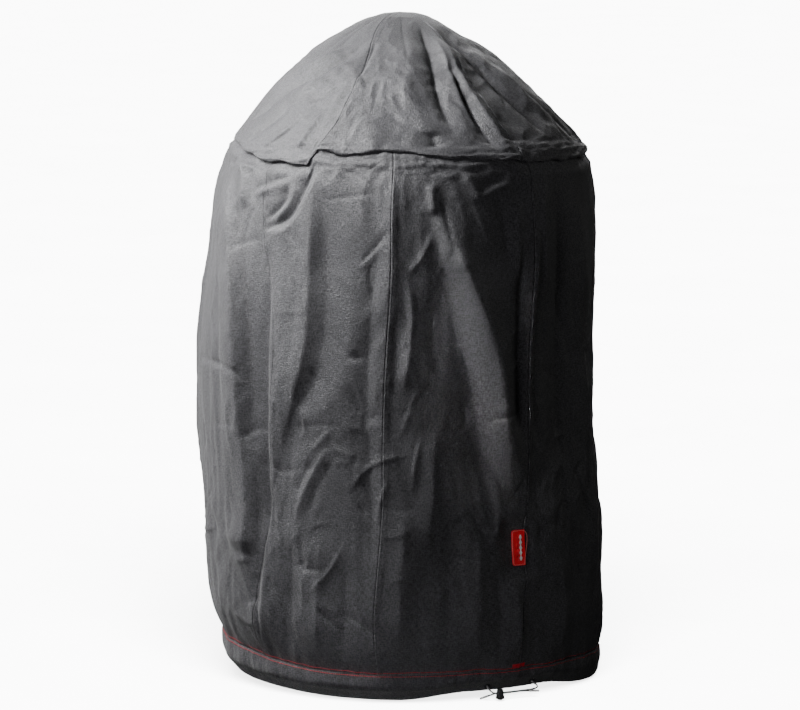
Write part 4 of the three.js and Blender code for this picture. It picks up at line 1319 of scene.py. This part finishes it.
def label_frame():
    """Centre of the label's outer face, its directions across, up and out, and its half sizes."""
    points = node_points("label_tab")
    out = facing(LABEL_FACING)
    across = np.cross((0, 0, 1), out)
    top, foot = points[points[:, 2] > LABEL_HEIGHT].mean(0), points[points[:, 2] < LABEL_HEIGHT].mean(0)
    up = unit(top - foot)
    spread = points @ across - (points[:, 2] - LABEL_HEIGHT) * (up @ across) / up[2]
    half_width = np.ptp(spread) / 2
    half_height = np.ptp(points[:, 2]) / 2
    depth = points @ out - (points[:, 2] - LABEL_HEIGHT) * (up @ out) / up[2]
    face = across * (spread.min() + half_width) + out * depth.max()
    face[2] = LABEL_HEIGHT
    return face, across, up, out, half_width, half_height, np.ptp(depth)


def label_outline(half_width, half_height, corner, inset=0.0):
    """Rounded at the left, square at the seam; anticlockwise from the lower right."""
    w, h, c = half_width - inset, half_height - inset, max(corner - inset, 0.6)
    points = [(w, -h), (w, h)]
    for quarter, middle in ((1, h - c), (2, c - h)):
        for k in range(13):
            turn = math.pi / 2 * (quarter + k / 12)
            points.append((-w + c + c * math.cos(turn), middle + c * math.sin(turn)))
    return np.array(points)


def label_piece():
    """The tab: its padded face is lowest at the edge, and catches the light as moulded rubber does."""
    face, across, up, out, half_width, half_height, thickness = label_frame()
    outline = label_outline(half_width, half_height, LABEL_CORNER)
    fine = []
    for a, b in zip(outline, np.roll(outline, -1, axis=0)):
        steps = max(1, int(np.linalg.norm(b - a)))
        fine += [a + (b - a) * k / steps for k in range(steps)]
    fine = np.array(fine)
    size = np.array([half_width, half_height])
    rings = []
    for gap, depth in [(0, -thickness), *LABEL_SECTION, (size.min() * 0.98, LABEL_SECTION[-1][1])]:
        flat = fine * (size - gap) / size
        rings.append(face + flat[:, :1] * across + flat[:, 1:] * up + depth * out)
    rings = np.array(rings)
    # The back and the small opening left in the face are closed by quads from side to side.
    count = rings.shape[1]
    half = count // 2
    first, last = np.arange(half), count - 1 - np.arange(half)
    cap = np.stack([first[:-1], first[1:], last[:-1] - 1, last[:-1]], -1)
    front_cap = cap[:, ::-1] + (len(rings) - 1) * count
    return faces_mesh("side_label", rings.reshape(-1, 3), np.concatenate([tube_quads(rings), cap, front_cap]))


def rim_piece():
    """A raised line just inside the label's edge, coloured pale as a painted highlight."""
    face, across, up, out, half_width, half_height, _ = label_frame()
    outline = label_outline(half_width, half_height, LABEL_CORNER, LABEL_RIM["inset"])
    closed = np.concatenate([outline, outline[:1]])
    path = face + closed[:, :1] * across + closed[:, 1:] * up + 0.02 * out
    path = smooth_path(path, 0.5)
    return tube_piece("label_rim", path, LABEL_RIM["width"] / 2, 8)


def build_label():
    dress(label_piece(), LABEL_RED, "label", "label", "label_tab")
    # The rim's pale colour is a painted highlight.
    dress(rim_piece(), LABEL_RIM_PAINTED_HIGHLIGHT, "label", "label")
    soften_edges("label_mark", LABEL_PALE, 0.12)


build_cloth()
build_cords()
build_hem()
build_tapes()
shoulder_binding()
apex_patch()
seam_stitches()
build_label()
build_fittings()


# Camera, light and floor.
CAMERA_DISTANCE = 8.0
CAMERA_RISE = 6.8
LOOK_HEIGHT = 525.0
# Millimetres on the cover's axis for each point of the picture.
PICTURE_SCALE = 1.6467
PICTURE_WIDTH = 800
SKIRT_RADIUS = 320.0
FLOOR_SIZE = 90
FLOOR_DROP = 0.0012


def look_at(obj, target):
    obj.rotation_euler = (Vector(target) - obj.location).to_track_quat("-Z", "Y").to_euler()


def around(azimuth, rise, distance, target):
    """A point at that azimuth (0 is the front, 90 the right), rise and distance from the target."""
    a, e = math.radians(azimuth), math.radians(rise)
    reach = distance * math.cos(e)
    return Vector(target) + Vector((reach * math.sin(a), -reach * math.cos(a), distance * math.sin(e)))


def add_camera():
    data = bpy.data.cameras.new("camera")
    data.sensor_width = 36
    data.lens = CAMERA_DISTANCE / (PICTURE_SCALE * MM) * data.sensor_width / PICTURE_WIDTH
    data.clip_end = 200
    camera = add_object("camera", data)
    target = (0, 0, HEM_FOOT_Z + LOOK_HEIGHT * MM)
    camera.location = around(0, CAMERA_RISE, CAMERA_DISTANCE, target)
    look_at(camera, target)
    bpy.context.scene.camera = camera


def add_area(
    name, azimuth, rise, distance, size, power, target_height, target_angle=None, spread=180, roll=0
):
    """A rectangular lamp aimed at a height on the axis, or on the cloth's surface at an angle."""
    data = bpy.data.lights.new(name, "AREA")
    data.shape = "RECTANGLE"
    data.size, data.size_y = size
    data.energy = power
    data.spread = math.radians(spread)
    lamp = add_object(name, data)
    target = np.array((0, 0, target_height))
    if target_angle is not None:
        target = target + SKIRT_RADIUS * facing(target_angle)
    target = to_frame(target)
    lamp.location = around(azimuth, rise, distance, target)
    look_at(lamp, target)
    lamp.rotation_euler.rotate_axis("Z", math.radians(roll))
    return lamp


def add_sun(name, tilt, strength, shadow=True):
    """A soft sun, tilted from overhead towards the front."""
    data = bpy.data.lights.new(name, "SUN")
    data.energy = strength
    data.angle = math.radians(40)
    data.use_shadow = shadow
    sun = add_object(name, data)
    sun.rotation_euler = (math.radians(tilt), 0, 0)
    return sun


def add_floor():
    mesh = bpy.data.meshes.new("floor")
    z = min(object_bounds()[0][2], CAD_BOUNDS[0][2]) - FLOOR_DROP
    corners = [(x * FLOOR_SIZE, y * FLOOR_SIZE, z) for x, y in ((-1, -1), (1, -1), (1, 1), (-1, 1))]
    mesh.from_pydata(corners, [], [(0, 1, 2, 3)])
    floor = add_object("floor", mesh)
    floor.data.materials.append(grained_material("floor_paint", (0.86, 0.86, 0.86), 0.85, 3, 0.0, 0.01))
    floor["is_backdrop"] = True
    return floor


def light_only(lights, name, objects):
    """Limits lights to some objects."""
    lit = bpy.data.collections.new(name)
    for obj in objects:
        lit.objects.link(obj)
    for light in lights:
        light.light_linking.receiver_collection = lit


def add_lights(floor):
    """Soft lamps for the cover, strongest at the left, and two suns that keep the floor pale."""
    world = bpy.data.worlds.new("world")
    bpy.context.scene.world = world
    world.use_nodes = True
    background = world.node_tree.nodes["Background"]
    background.inputs["Color"].default_value = (1, 1, 1, 1)
    background.inputs["Strength"].default_value = 0.02
    front_fill = add_area("front_fill", -26, 1, 3.6, (1.4, 2.0), 68, 520)
    low_fill = add_area("low_fill", -15, 1, 1.9, (0.4, 0.12), 0.105, 60, -15, spread=16)
    for fill in (front_fill, low_fill):
        fill.visible_glossy = False
    lamps = [
        add_area("key", -61, 37, 1.35, (0.4, 0.6), 70, 970),
        front_fill,
        add_area("side", -104, 24, 1.6, (0.3, 0.8), 30, 800),
        add_area("back_fill", 178, 25, 4.0, (3.0, 2.0), 60, 560),
        add_area("right_fill", 112, 20, 4.0, (2.0, 2.0), 8, 560),
        add_area("grid", -38, 8, 1.6, (0.07, 0.36), 0.085, 500, 26, spread=7, roll=12),
        low_fill,
    ]
    pieces = [obj for obj in bpy.context.scene.objects if obj.type in ("MESH", "CURVE") and obj is not floor]
    light_only(lamps, "lit_pieces", pieces)
    light_only([add_sun("floor_sun", 50, 44), add_sun("floor_fill", 0, 14, shadow=False)], "floors", [floor])
    floor.visible_diffuse = False
    floor.visible_glossy = False


add_camera()
add_lights(add_floor())
